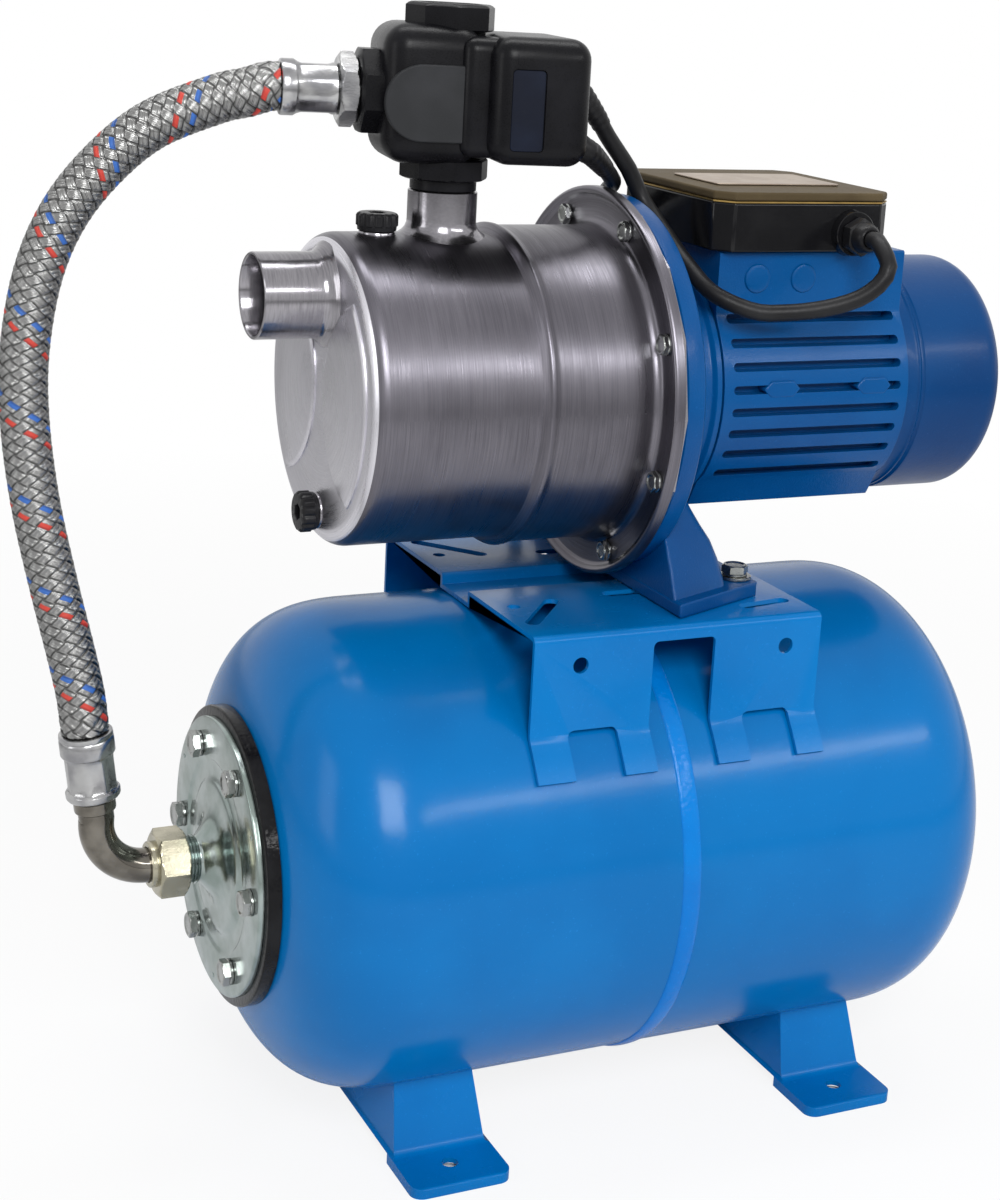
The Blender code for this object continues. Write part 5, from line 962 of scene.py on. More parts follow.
def braided_hose():
    """The hose's braid: seven flat strands each way, over and under, two of them coloured yarn.

    Vertices lie on the lines between and along the strands, so that every edge is clean.
    """
    line = hose_line()
    frames = path_frames(line)
    length = path_length(line)
    round_steps = STRANDS * STRAND_STEPS
    spacing = STRAND_LEAD / (2 * round_steps)
    count = int(length / spacing)
    reach = [0.0]
    for first, second in zip(line, line[1:]):
        reach.append(reach[-1] + (second - first).length)

    bm = bmesh.new()
    strands = bm.loops.layers.uv.new("strands")
    places = {}
    station = [0]

    def frame_at(distance):
        while station[0] < len(reach) - 2 and reach[station[0] + 1] < distance:
            station[0] += 1
        index = station[0]
        share = (distance - reach[index]) / (reach[index + 1] - reach[index])
        share = min(max(share, 0.0), 1.0)
        return [first.lerp(second, share) for first, second in zip(frames[index],
                                                                   frames[index + 1])]

    for row in range(count + 1):
        point, way, side, other = frame_at(row * spacing)
        for column in range(row % 2, 2 * round_steps, 2):
            angle = math.pi * column / round_steps
            a, b = (column + row) // 2, (column - row) // 2
            radius = HOSE_RADIUS + strand_height(a, b)
            places[row, column] = bm.verts.new(
                point + (side * math.cos(angle) + other * math.sin(angle)) * radius)
    for (row, column), low in places.items():
        corners = [low] + [places.get((row + up, (column + aside) % (2 * round_steps)))
                           for up, aside in ((1, 1), (2, 0), (1, -1))]
        if None in corners:
            continue
        face = bm.faces.new(corners)
        u, _, over_right = crossing((column + row) / 2 + 0.25, (column - row) / 2 - 0.25)
        face.material_index = 0 if over_right else 1
        half = math.floor(2 * u) % (2 * STRANDS)
        if over_right and half in (0, 3):
            face.material_index = 2 if half == 0 else 3
        steps = ((0, 0), (1, 0), (1, -1), (0, -1))
        for loop, (da, db) in zip(face.loops, steps):
            loop[strands].uv = (((column + row) / 2 + da) / STRAND_STEPS,
                                ((column - row) / 2 + db) / STRAND_STEPS)
    hose = make_piece("hose_braid", bm, [*BRAID, BLUE_YARN, RED_YARN], ("hose",), sharp=0)
    path = [world(point) for point in evenly(line, 15.0)]
    path_length(path)


def lead_exit(name, *distances):
    """Points along a lead's straight way out of the housing."""
    y, z = LEAD_EXITS[name]
    tilt = math.radians(LEAD_EXIT_TILT)
    mouth = from_switch((HOUSING_X[1], y, z))
    way = from_switch((HOUSING_X[1] + math.cos(tilt), y, z - math.sin(tilt))) - mouth
    return [mouth + way * distance for distance in distances]


def relief(name, line, length):
    """The tapered, ribbed sleeve that guards a lead where it leaves the housing."""
    points = [point for point in evenly(line, 1.0) if (point - line[0]).length < length]
    radii = []
    for index in range(len(points)):
        share = index / (len(points) - 1)
        rib = 0.35 if index % 4 in (1, 2) and index > 4 else 0.0
        radii.append(6.5 - 1.5 * share + rib * (1 - share * 0.5))
    return swept(name, points, radii, RUBBER)


def lead(name, points, nodes, sleeve):
    """A rubber lead with a sleeve where it leaves the housing."""
    made = cord_curve(name, points, LEAD_DIAMETER, RUBBER, nodes)
    relief(name + "_relief", points, sleeve)
    return made


def hold(made, points, **facts):
    """Works out the lead's path in metres and its length."""
    path = [world(point) for point in points]
    path_length(path)


def motor_cord():
    """The lead that hangs in a bow from the switch to the terminal box's gland."""
    line = lead_exit("motor", 4.3, 8.0) + [Vector(point) for point in MOTOR_LEAD_ROUTE]
    gland = Vector((GLAND_PLACE[0], -BOX_HALF_WIDTH - 20.0, GLAND_PLACE[2]))
    line += [gland + Vector((0, -6, 0)), gland + Vector((0, -0.3, 0))]
    points = smooth_route(line, 6.0)
    hold(lead("motor_cord", points, ("motor_lead",), 26.0), points, far_end="object", lay="loose")


COIL_OUTER, COIL_INNER, COIL_TOP = 54.9, 45.4, 54.8
COIL_LOW, COIL_HIGH = 4.9, 14.4
COIL_END = 1230.0
PLUG_TAIL = 31.0

# Turns of the coil: the angle at which each stretch ends, its radius and its height
COIL_STRETCHES = (
    (0.0, COIL_OUTER, COIL_LOW), (360.0, COIL_OUTER, COIL_LOW), (420.0, COIL_INNER, COIL_LOW),
    (660.0, COIL_INNER, COIL_LOW), (720.0, COIL_INNER, COIL_HIGH), (960.0, COIL_INNER, COIL_HIGH),
    (1020.0, COIL_TOP, COIL_HIGH), (COIL_END, COIL_TOP, COIL_HIGH),
)


def coil_turns():
    """The cord's middle as it winds two turns on the floor and two on top of them."""
    x, y = COIL_CENTRE
    points = []
    for (start, r0, z0), (end, r1, z1) in zip(COIL_STRETCHES, COIL_STRETCHES[1:]):
        steps = max(1, round((end - start) / 10))
        for step in range(steps):
            share = step / steps
            angle = math.radians(start + (end - start) * share)
            radius = r0 + (r1 - r0) * eased(share)
            points.append(Vector((x + radius * math.cos(angle), y + radius * math.sin(angle),
                                  z0 + (z1 - z0) * eased(share))))
    return points


def mains_cord():
    """The lead that falls behind the pump, winds up on the floor and ends in the plug."""
    line = lead_exit("mains", 4.3, 8.0) + [Vector(point) for point in MAINS_LEAD_ROUTE]
    x, y = COIL_CENTRE
    line += [Vector((x + COIL_OUTER, y - before, COIL_LOW)) for before in (32.0, 20.0)]
    tail = Vector((x - COIL_OUTER, y - PLUG_TAIL - 0.3, PLUG_RADIUS + 0.3))
    out = []
    for step in range(1, 8):
        share = step / 7
        angle = math.radians(COIL_END + 30 * min(1.0, share * 1.2))
        out.append(Vector((x + COIL_TOP * math.cos(angle), y + COIL_TOP * math.sin(angle)
                           - max(0.0, share - 0.83) * 40, COIL_HIGH + 4.9 * eased(share))))
    points = smooth_route(line, 6.0)[:-1] + coil_turns() + out + [tail + Vector((0, 8, 0)), tail]
    made = lead("mains_cord", points, ("mains_lead", "mains_coil"), 30.0)
    hold(made, points, far_end="plug", lay="coiled", with_pieces=[mains_plug(tail)])
    coil_tie()


def mains_plug(tail):
    """A round moulded plug: ribbed tail, shoulder, grip ring, flat face and two pins."""
    profile = [(0, 0), (0, 5.5, 0, 1)]
    for rib in range(6):
        start = 3 + rib * 4
        radius = 5.7 + rib * 0.3
        profile += [(-start, radius), (-start - 0.4, radius + 0.9), (-start - 2.0, radius + 0.9),
                    (-start - 2.4, radius)]
    profile += [(-28, 7.5), (-33, 12), (-38, 16), (-42, 17.6), (-46, 18.0), (-50, 17.2),
                (-54, 18.2), (-60, 18.9), (-64, 19.0), (-65.4, 18.6), (-66, 17.6), (-66, 0)]
    bm = bmesh.new()
    lathe(bm, profile, "Y", SMALL)
    for side in (-1, 1):
        lathe(bm, [(-62, 0), (-62, 2.9), (-74, 2.9), (-74.4, 2.4), (-84, 2.4), (-85, 1.6),
                   (-85, 0)], "Y", 20, True, (side * 9.5, 0))
    plug = make_piece("plug", bm, BLACK, ("mains_plug",),
                      place=(tail.x, tail.y - 0.3, tail.z), sharp=40)
    return plug


def coil_tie():
    """The strap that holds the coil's turns together, on its far side."""
    x, y = COIL_CENTRE
    outline = rounded_rectangle((-9.5, 0.4), (9.5, 18.9), 4.0)
    bm = bmesh.new()
    inner = rounded_rectangle((-9.0, 0.9), (9.0, 18.4), 3.6)
    near = [[bm.verts.new((across, y + 50 + first, second)) for first, second in ring]
            for across, ring in ((x - 4, outline), (x + 4, outline), (x + 4, inner),
                                 (x - 4, inner))]
    for first, second in zip(near, near[1:] + near[:1]):
        bridge(bm, first, second)
    make_piece("coil_tie", bm, TIE)


# Tank

def dish(straight, depth, power, mouth, steps):
    """Half a tank end as a superellipse, from the shell's full radius to its mouth."""
    last = math.acos((mouth / TANK_RADIUS) ** (power / 2))
    angles = [last * step / steps for step in range(steps + 1)]
    return [(straight + depth * math.sin(angle) ** (2 / power),
             TANK_RADIUS * math.cos(angle) ** (2 / power)) for angle in angles]


def flange_dish_x(radius):
    share = 1 - (radius / TANK_RADIUS) ** FLANGE_POWER
    return -FLANGE_STRAIGHT - FLANGE_DISH * share ** (1 / FLANGE_POWER)


def tank():
    """Two dished shells and the rippled weld bead that joins them; the bead's lighter enamel is a
    painted highlight.
    """
    left = dish(FLANGE_STRAIGHT, FLANGE_DISH, FLANGE_POWER, MOUTH_RADIUS, 30)
    right = dish(BLIND_STRAIGHT, BLIND_DISH, BLIND_POWER, 4.8, 36)
    half = SEAM_HALF + SEAM_RISE
    bead = [(half * math.sin(a), TANK_RADIUS + SEAM_RISE * math.cos(a))
            for a in (math.radians(-90 + 15 * step) for step in range(13))]
    profile = [(-x, radius) for x, radius in reversed(left)]
    profile += [(-90, TANK_RADIUS), (-45, TANK_RADIUS), (-half - 2, TANK_RADIUS)] + bead
    profile += [(half + 2, TANK_RADIUS), (50, TANK_RADIUS), (100, TANK_RADIUS)] + right
    profile += [(BLIND_STRAIGHT + BLIND_DISH - 2, 4.8), (BLIND_STRAIGHT, TANK_RADIUS - 3),
                (-FLANGE_STRAIGHT, TANK_RADIUS - 3), (flange_dish_x(60) + 6, 60),
                (flange_dish_x(MOUTH_RADIUS) + 2, MOUTH_RADIUS)]
    shell = turned("tank", profile, [TANK_BLUE, WELD], ("tank_shell",),
                   place=TANK_AXIS, steps=2 * FINE, sharp=40)
    # Faces on the bead take the lighter enamel: a painted highlight.
    for face in shell.data.polygons:
        if abs(face.center.x) < half * MM and face.center.yz.length > (TANK_RADIUS - 0.5) * MM:
            face.material_index = 1


def collar():
    """The black ring that fits between the cover and the curve of the tank's end."""
    front = COVER_FACE_X + 3.3
    radii = [COLLAR_BORE + (COLLAR_RADIUS - COLLAR_BORE) * step / 10 for step in range(11)]
    profile = [(front, COLLAR_BORE)]
    profile += moved([(0, -1.4), (0.3, -0.5), (1.0, 0)], front, COLLAR_RADIUS)
    profile += [(flange_dish_x(radius) - 0.7, radius) for radius in reversed(radii)]
    ring = turned("collar", profile, LACQUER, ("tank_collar",), place=TANK_AXIS,
                  steps=FINE)


def cover():
    """The pressed cover: flat rim, rolled groove, shallow dish, cone and threaded nipple."""
    face = COVER_FACE_X
    profile = [(face + 3, 9.5), (face + 3, COVER_RADIUS)]
    profile += [(face + 1.0 + math.cos(a) * -1.0, COVER_RADIUS - 1.0 + math.sin(a) * 1.0)
                for a in (math.radians(angle) for angle in (90, 60, 30, 0))]
    groove = [(0, 54.2), (0.25, 53.2), (1.1, 52.0), (1.4, 50.8), (1.4, 44.5), (1.2, 43.2),
              (0.2, 41.4), (-0.5, 40.0)]
    cone = [(-0.8, 38.6), (-0.95, 33.0), (-1.2, 27.5), (-1.9, 24.6), (-3.4, 21.0), (-5.2, 18.4),
            (-7.4, 15.6), (-9.2, 13.4), (-10.2, 12.3), (-11.0, 12.1), (-11.6, 12.6)]
    profile += moved(groove + cone, face)
    start = face - 12.0
    while start > NIPPLE_END_X + THREAD_PITCH:
        profile += moved([(0, -0.2), (-0.45, 0), (-0.7, 0), (-1.3, -1.0), (-1.5, -1.0)], start,
                         NIPPLE_RADIUS)
        start -= THREAD_PITCH
    profile += [(NIPPLE_END_X + 0.8, 12.3), (NIPPLE_END_X, 11.6), (NIPPLE_END_X, 9.5)]
    plate = turned("cover", profile, ZINC, ("flange_cover",), place=TANK_AXIS, steps=FINE,
                   sharp=40)
    for number, (y, z) in enumerate(bolt_ring(COVER_BOLTS, COVER_BOLT_CIRCLE), 1):
        bolt = turned(f"cover_bolt_{number}_head", hex_bolt(face - 0.3, -1, 5.5, 6.5, 7.2, 4.0, 12),
                      BOLT_ZINC, (f"cover_bolt_{number}",), place=(0, y, TANK_HEIGHT + z),
                      turn=spun(17 * number, "X"), steps=48, sharp=25)
    for y, z in bolt_ring(3, 70.5, 30):
        dimple = moved([(0.2, 0), (0.2, 1.5), (-0.25, 1.3), (-0.45, 0.7), (-0.5, 0)], face)
        turned("cover_dimple", dimple, ZINC, place=(0, y, TANK_HEIGHT + z), steps=20)


def hex_bolt(base, way, height, flats, washer, shank, reach):
    """A whole bolt: head on its base and a plain shank the other way."""
    return [(base - way * reach, 0), (base - way * reach, shank - 0.6),
            (base - way * (reach - 0.6), shank), (base, shank)] + hex_head(
                base, way, height, flats, washer)[1:]


def valve_end():
    """The ribbed cap over the air valve in the middle of the blind end."""
    low, high = VALVE_CAP_START, VALVE_CAP_END
    profile = [(low, 11.4), (low, 12.6), (low + 0.5, 13.0), (low + 3.0, 13.0), (low + 3.4, 12.9, 0, 1)]
    profile += [(high - 4.5, 12.9, 0, 1), (high - 2.2, 12.2), (high - 0.8, 10.9), (high, 9.0),
                (high, 0), (high - 1.8, 0), (high - 1.8, 9.0), (high - 3.5, 11.0)]
    cap = turned("valve_cap_ribbed", profile, BLACK, ("valve_cap",), "valve_cap",
                 TANK_AXIS, steps=144, flutes=(36, 0.55), sharp=40)


# Feet and bracket

def foot_form(outline, inset):
    """A foot's outline across the tank, pulled along it and narrower towards the top."""
    bm = bmesh.new()
    ends = []
    for side in (-1, 1):
        verts = []
        for y, z in outline:
            rise = (z - PAD_THICKNESS) / (LEG_TOP_Z - PAD_THICKNESS)
            half = PAD_HALF_WIDTH if rise <= 0 else 26.5 - 4.0 * rise
            verts.append(bm.verts.new((side * (half - inset), y, z)))
        bm.faces.new(verts)
        ends.append(verts)
    bridge(bm, *ends)
    bmesh.ops.recalc_face_normals(bm, faces=bm.faces)
    return bm


def mirrored(half):
    return list(half) + [(-y, z) for y, z in reversed(half)]


def feet():
    """Pressed saddles: a hollow bridge that ends in two lipped pads with a bolt hole each."""
    for name, centre in FOOT_PLACES.items():
        place = (centre, 0, 0)
        outline = [(-PAD_REACH, 0), (-PAD_REACH, PAD_THICKNESS - 2)]
        outline += arc((-PAD_REACH + 2, PAD_THICKNESS - 2), 2, 150, 90, 3)
        outline += [(-LEG_FOOT_Y - 5, PAD_THICKNESS), (-LEG_FOOT_Y - 2.4, PAD_THICKNESS + 0.5),
                    (-LEG_FOOT_Y - 0.8, PAD_THICKNESS + 1.8), (-LEG_FOOT_Y + 0.4, PAD_THICKNESS + 4),
                    (-LEG_TOP_Y, LEG_TOP_Z)]
        foot = make_piece(name + "_pressing", foot_form(mirrored(outline), 0), SHEET_BLUE, (name,),
                          place=place)
        void = foot_form(mirrored([
            (-PAD_REACH + 3, -1), (-PAD_REACH + 3, PAD_THICKNESS - 3),
            (-LEG_FOOT_Y + 3, PAD_THICKNESS - 3), (-LEG_TOP_Y + 3, LEG_TOP_Z + 1)]), 3)
        under = form(prism, rectangle((-82, -2), (82, PAD_THICKNESS)), -40, 40)
        round_tank = form(drill, -60, 60, TANK_RADIUS - 0.2, "X", 2 * FINE)
        holes = bmesh.new()
        for y in (-FOOT_HOLE_Y, FOOT_HOLE_Y):
            drill(holes, -5, 20, FOOT_HOLE_RADIUS, centre=(0, y))
        carve(foot, tool(void, place), tool(under, place), tool(holes, place),
              tool(round_tank, (centre, 0, TANK_HEIGHT)))
        plan = form(prism, rounded_rectangle((-PAD_HALF_WIDTH, -PAD_REACH),
                                             (PAD_HALF_WIDTH, PAD_REACH), 7.0), -5, 60, "Z")
        carve(foot, tool(plan, place), operation="INTERSECT")
        soften(foot, 1.2, 3, 40)


def sheet(path, thickness):
    """A closed outline round a bent sheet whose outer skin follows a path, mitred at bends."""
    inner = []
    for index, (x, y) in enumerate(path):
        near = Vector(path[max(index - 1, 0)])
        here = Vector((x, y))
        far = Vector(path[min(index + 1, len(path) - 1)])
        ways = [way.normalized() for way in (here - near, far - here) if way.length > 1e-6]
        normals = [Vector((way.y, -way.x)) for way in ways]
        middle = sum(normals, Vector((0, 0))).normalized()
        inner.append(tuple(here + middle * thickness / max(0.4, middle.dot(normals[0]))))
    return list(path) + inner[::-1]


def slot_cutter(bm, start, end, half_width):
    """Adds the cutter of a slot with round ends through the bracket's platforms."""
    way = math.degrees(math.atan2(end[1] - start[1], end[0] - start[0]))
    outline = arc(start, half_width, way + 90, way + 270, 12)
    outline += arc(end, half_width, way - 90, way + 90, 12)
    prism(bm, outline, PLATFORM_Z - 8, PLATFORM_Z + 5, "Z")


def arched(left, right, top, radius, steps, bottom=200):
    """The outline of a cut from below whose two upper corners are round."""
    outline = [(left, bottom), (right, bottom)]
    outline += arc((right - radius, top - radius), radius, 0, 90, steps)
    return outline + arc((left + radius, top - radius), radius, 90, 180, steps)


def bracket():
    """One bent sheet: tabs on the tank, two walls and two platforms with a valley between."""
    half = []
    for step in range(5):
        angle = math.radians(30.5 + 8.5 * step / 4)
        reach = TANK_RADIUS + 0.7 + BRACKET_SHEET
        half.append((-reach * math.cos(angle), TANK_HEIGHT + reach * math.sin(angle)))
    half += [(-BRACKET_WALL_Y, 246.0)]
    half += arc((-BRACKET_WALL_Y + 4, PLATFORM_Z - 4), 4, 180, 90, 8)
    half += [(-19.5, PLATFORM_Z), (-18.4, PLATFORM_Z - 0.4), (-18, PLATFORM_Z - 1.5), (-18, 293)]
    reach = BRACKET_HALF_LENGTH
    piece = extruded("bracket_sheet", sheet(mirrored(half), BRACKET_SHEET), -reach, reach,
                     SHEET_BLUE, ("pump_bracket",))
    across = BRACKET_WALL_Y + 20
    for x in WINDOWS_X:
        window = arched(x - 14.5, x + 14.5, WINDOW_TOP_Z, 4, 6)
        carve(piece, tool(form(prism, window, -across, across, "Y")))
    slots = bmesh.new()
    for side in (-1, 1):
        notch = arched(-16.6, 20.4, NOTCH_TOP_Z, 3, 5)
        carve(piece, tool(form(prism, notch, side * 38, side * across, "Y")))
        for start, end, width in PLATFORM_SLOTS:
            slot_cutter(slots, (start[0], side * start[1]), (end[0], side * end[1]), width)
    carve(piece, tool(slots))
    holes = bmesh.new()
    for x in WALL_HOLES_X:
        drill(holes, -across, across, WALL_HOLE_RADIUS, "Y", centre=(x, WALL_HOLE_Z))
    carve(piece, tool(holes))
    soften(piece, 0.8, 3, 40)


# Pump

def lens_outline(side, grow=0.0):
    """A pressed lens on the casing's face: two arcs of different swell between the same tips."""
    points = []
    tip, half_height = 46.0, 52.0 + grow
    for low, high, middle in ((-1, 1, 68.5 + grow), (1, -1, 7.0 - grow)):
        sagitta = middle - tip
        radius = (half_height ** 2 + sagitta ** 2) / (2 * abs(sagitta))
        centre = middle - math.copysign(radius, sagitta)
        for step in range(28):
            z = half_height * (low + (high - low) * step / 28)
            points.append((side * (centre + math.copysign(math.sqrt(radius ** 2 - z ** 2), sagitta)), z))
    return points


def casing():
    """The deep-drawn casing: face with two pressed lenses, bead, swept foot and rolled rim."""
    face, rim, rear = FACE_X, FLANGE_RADIUS, REAR_RADIUS
    corner = [(face + 9 - x, FACE_RADIUS + y) for y, x in arc((0, 0), 9, 90, 0, 14)]
    inner = [(face + 9 - x, FACE_RADIUS + y) for y, x in arc((0, 0), 7.2, 90, 0, 8)]
    foot = moved([(-17.0, 0.1), (-15.0, 0.5), (-13.4, 1.4), (-12.3, 2.6), (-12.0, 4.2)], 0, rear)
    roll = moved([(-12.0, -7), (-12.2, -5.8), (-13.4, -4.4), (-14.6, -3.4), (-15.1, -2.2),
                  (-14.9, -1.0), (-14.0, -0.2), (-12.8, 0), (-9.2, 0), (-9.0, -0.3), (-9.0, -1.8),
                  (-10.0, -1.8)], 0, rim)
    back = [(x, rear - 1.8) for x in (-10.0, -20, -68.5)]
    profile = [(face, 0), (face, 30), (face, 60)] + corner
    profile += [(-120, FRONT_RADIUS), (-100, FRONT_RADIUS), (-80, FRONT_RADIUS),
                (-78, 82.3), (-76.5, 84.2), (-75.2, 86.3), (-74, 87.0), (-72.6, 86.8),
                (-71.0, 86.0), (-68.5, rear), (-45, rear), (-20, rear),
                *foot, *roll, *back, (-78, 80.2), (-100, 80.2)]
    profile += inner[::-1] + [(face + 1.8, 0)]
    shell = turned("casing", profile, [STEEL, FACE_STEEL_PAINTED_HIGHLIGHT], ("pump_casing",),
                   place=PUMP_AXIS, steps=FINE, sharp=40)
    # The face takes the lighter steel: a painted highlight.
    for polygon in shell.data.polygons:
        if polygon.center.x < (face + 3.0) * MM:
            polygon.material_index = 1
    top = PUMP_HEIGHT + FRONT_RADIUS
    drain = PUMP_HEIGHT - DRAIN_DROP
    ports = bmesh.new()
    for low, high, radius, axis, centre in (
            (face - 20, face + 20, SUCTION_RADIUS - PIPE_WALL, "X", (0, PUMP_HEIGHT + SUCTION_RISE)),
            (top - 15, top + 15, DELIVERY_RADIUS - PIPE_WALL, "Z", (DELIVERY_X, 0)),
            (top - 15, top + 15, PLUG_BORE, "Z", (FILLER_X, 0)),
            (face - 8, face + 20, PLUG_BORE, "X", (0, drain))):
        drill(ports, low, high, radius, axis, centre=centre)
    rim_holes = bmesh.new()
    for y, z in bolt_ring(CASING_BOLTS, CASING_BOLT_CIRCLE, CASING_BOLT_TURN):
        drill(rim_holes, -20, 0, 3.3, "X", 20, (y, PUMP_HEIGHT + z))
    carve(shell, tool(ports), tool(rim_holes), sharp=40)
    for side in (-1, 1):
        lens = bmesh.new()
        outer, middle, inner = (lens_outline(side, grow) for grow in (0.6, -0.7, -2.2))
        rings = [[lens.verts.new((x, y, z)) for y, z in outline] for x, outline in (
            (face + 0.3, outer), (face - 0.5, outer), (face - 1.25, middle), (face - 1.6, inner))]
        skin(lens, rings)
        # The lenses take the same lighter steel: a painted highlight.
        make_piece(f"face_lens_{side + 1}", lens, FACE_STEEL_PAINTED_HIGHLIGHT, place=PUMP_AXIS, sharp=50)
    stub = moved([(0.6, 5.4), (-0.4, 4.6), (-1.4, 3.0), (-3.0, 1.5), (-5.0, 0.4), (-7.0, 0),
                  (-22, 0)], face, SUCTION_RADIUS)
    stub += moved([(0.5, 0), (0, -0.5), (0, -1.4)], SUCTION_MOUTH_X, SUCTION_RADIUS)
    bore = SUCTION_RADIUS - PIPE_WALL
    stub += [(SUCTION_MOUTH_X + 0.9, bore), (face - 18, bore), (face + 0.6, bore)]
    turned("suction_stub", stub, PIPE_STEEL, place=(0, 0, PUMP_HEIGHT + SUCTION_RISE), steps=FINE,
           sharp=40)
    low = top - 0.2
    pipe = moved([(0, 5.6), (0.6, 4.6), (1.8, 2.6), (3.4, 1.1), (5.4, 0.2), (7.0, 0)], low,
                 DELIVERY_RADIUS)
    pipe += moved([(-0.4, 0), (0, -0.4), (0, -PIPE_WALL)], DELIVERY_TOP_Z, DELIVERY_RADIUS)
    pipe.append((low, DELIVERY_RADIUS - PIPE_WALL))
    bm = form(lathe, pipe, "Z", 96)
    flare = 8
    for vert in bm.verts:
        rise = vert.co.z - low
        if rise < flare:
            sag = FRONT_RADIUS - math.sqrt(FRONT_RADIUS ** 2 - min(vert.co.y ** 2, 900))
            vert.co.z -= sag * (1 - rise / flare) + 0.3 * (1 - rise / flare)
    make_piece("delivery_stub", bm, PIPE_STEEL, place=(DELIVERY_X, 0, 0), sharp=40)
    boss = [(-2.5, 9.6), (0.3, 9.6), (0.8, 9.3), (1.0, 8.8), (1.0, PLUG_BORE),
            (-2.5, PLUG_BORE)]
    turned("filler_boss", boss, PIPE_STEEL, place=(FILLER_X, 0, top), axis="Z")
    turned("drain_boss", [(-along, radius) for along, radius in boss], PIPE_STEEL,
           place=(face, 0, drain))


def screw_plugs():
    """The fluted filler and drain plugs, each with a hexagon socket."""
    profile = [(-6, 0), (-6, 6.2), (-5.4, 7.0), (0.3, 7.0), (0.3, 9.6), (0.6, 10.1), (2.6, 10.3),
               (3.0, 11.0, 0, 1), (8.0, 11.0, 0, 1), (9.0, 10.4, 0, 1), (9.5, 9.4), (9.5, 4.4, 6),
               (9.2, 4.0, 6), (6.5, 4.0, 6), (6.5, 0)]
    for name, sign, axis, place in (
            ("filler_plug", 1, "Z", (FILLER_X, 0, PUMP_HEIGHT + FRONT_RADIUS + 1)),
            ("drain_plug", -1, "X", (FACE_X - 1, 0, PUMP_HEIGHT - DRAIN_DROP))):
        shape = [(sign * along, *rest) for along, *rest in profile]
        plug = turned(name + "_fluted", shape, BLACK, (name,), name, place, axis=axis, steps=144,
                      flutes=(12, 1.1), sharp=30)


# The lantern's leg from foot to flange: height, rear edge, half widths in front and behind
LEG_LEVELS = (
    (305.0, 47.4, 90.4, 72.6), (307.6, 45.6, 88.8, 70.4), (312, 44.9, 86.6, 69.2),
    (322, 42.5, 82.0, 66.0), (332, 38.6, 76.5, 63.0), (340, 33.5, 72.0, 60.0),
    (348, 29.0, 67.0, 57.0), (356, 25.0, 62.0, 54.0), (362, 22.0, 58.0, 50.0),
)


def lantern():
    """The cast piece between pump and motor: flange, neck, leg and saddle in one casting."""
    profile = moved([(0, 36), (0, 101.6), (0.7, 102.5), (9.6, 102.5), (10.7, 101.8), (11.6, 100.2),
                     (14.2, 96.2), (15.2, 93.0), (16.4, 78.0), (17.2, 72.6), (18.6, 68.6),
                     (21.0, 64.8), (24, 64.0)], LANTERN_FACE_X)
    profile += [(29.8, 64.0), (31.0, 64.8), (31.6, 66.4), (32.4, 67.0), (35.0, 67.0), (35.5, 66.5),
                (35.5, 58), (19, 58), (19, 26), (35, 26), (35, 20.3), (22.7, 20.3), (22.7, 12),
                (5.3, 12), (5.3, 30)]
    cast = turned("lantern", profile, MOTOR_BLUE, ("motor_lantern",), place=PUMP_AXIS,
                  steps=FINE, sharp=36)
    bm = bmesh.new()
    rings = []
    for z, rear, front_half, rear_half in LEG_LEVELS:
        corners = [(3.0, -front_half), (rear, -rear_half), (rear, rear_half), (3.0, front_half)]
        ring = []
        for index, corner in enumerate(corners):
            here = Vector(corner)
            near = (Vector(corners[index - 1]) - here).normalized()
            far = (Vector(corners[(index + 1) % 4]) - here).normalized()
            width = 6.0 if index in (1, 2) else 2.5
            start, end = here + near * width, here + far * width
            for step in range(7):
                share = step / 6
                point = start * (1 - share) ** 2 + here * (2 * share * (1 - share)) + end * share ** 2
                ring.append(bm.verts.new((point.x, point.y, z)))
        rings.append(ring)
    skin(bm, rings)
    make_piece("lantern_leg", bm, MOTOR_BLUE, sharp=40)
    low = PLATFORM_Z + 0.3
    saddle = extruded("lantern_saddle", [(2.5, -96.4), (66, -68.5), (66, 68.5), (2.5, 96.4)], low,
                      low + 8.0, MOTOR_BLUE, axis="Z", sharp=36)
    holes = bmesh.new()
    for side in (-1, 1):
        drill(holes, low - 5, low + 13, 4.3, centre=(FOOT_BOLT_PLACE[0], side * FOOT_BOLT_PLACE[1]))
    carve(saddle, tool(holes))
    soften(saddle, 1.4, 3, 40)
    for number, (y, z) in enumerate(bolt_ring(CASING_BOLTS, CASING_BOLT_CIRCLE, CASING_BOLT_TURN), 1):
        turned(f"casing_bolt_{number}", hex_bolt(-12.3, -1, 4.0, 5.0, 5.7, 3.0, 9), BOLT_ZINC,
               place=(0, y, PUMP_HEIGHT + z), turn=spun(23 * number, "X"), steps=48, sharp=25)


def foot_bolts():
    """Bolt, washer and nut on each side of the lantern's saddle."""
    low = PLATFORM_Z + 8.6
    for side, end in ((-1, "front"), (1, "back")):
        place = (FOOT_BOLT_PLACE[0], side * FOOT_BOLT_PLACE[1], 0)
        section = moved([(0, 4.3), (0, 9.1), (0.3, 9.5), (1.3, 9.5), (1.6, 9.1), (1.6, 4.6),
                         (1.3, 4.3)], low)
        ring = turned(f"washer_{end}", section, BOLT_ZINC, (f"foot_washer_{end}",), place=place,
                      axis="Z")
        base = low + 1.9
        profile = [(291.1, 0)] + nut(291.1, 297.1, 6.5, 4.0)[1:-1]
        profile += [(297.1, 4.0), (base, 4.0)] + hex_head(base, 1, 5.8, 6.5, 7.0)[1:]
        bolt = turned(f"foot_bolt_{end}_set", profile, BOLT_ZINC, (f"foot_bolt_{end}",), place=place,
                      axis="Z", steps=48, sharp=25, turn=spun(11, "Z"))


# Motor

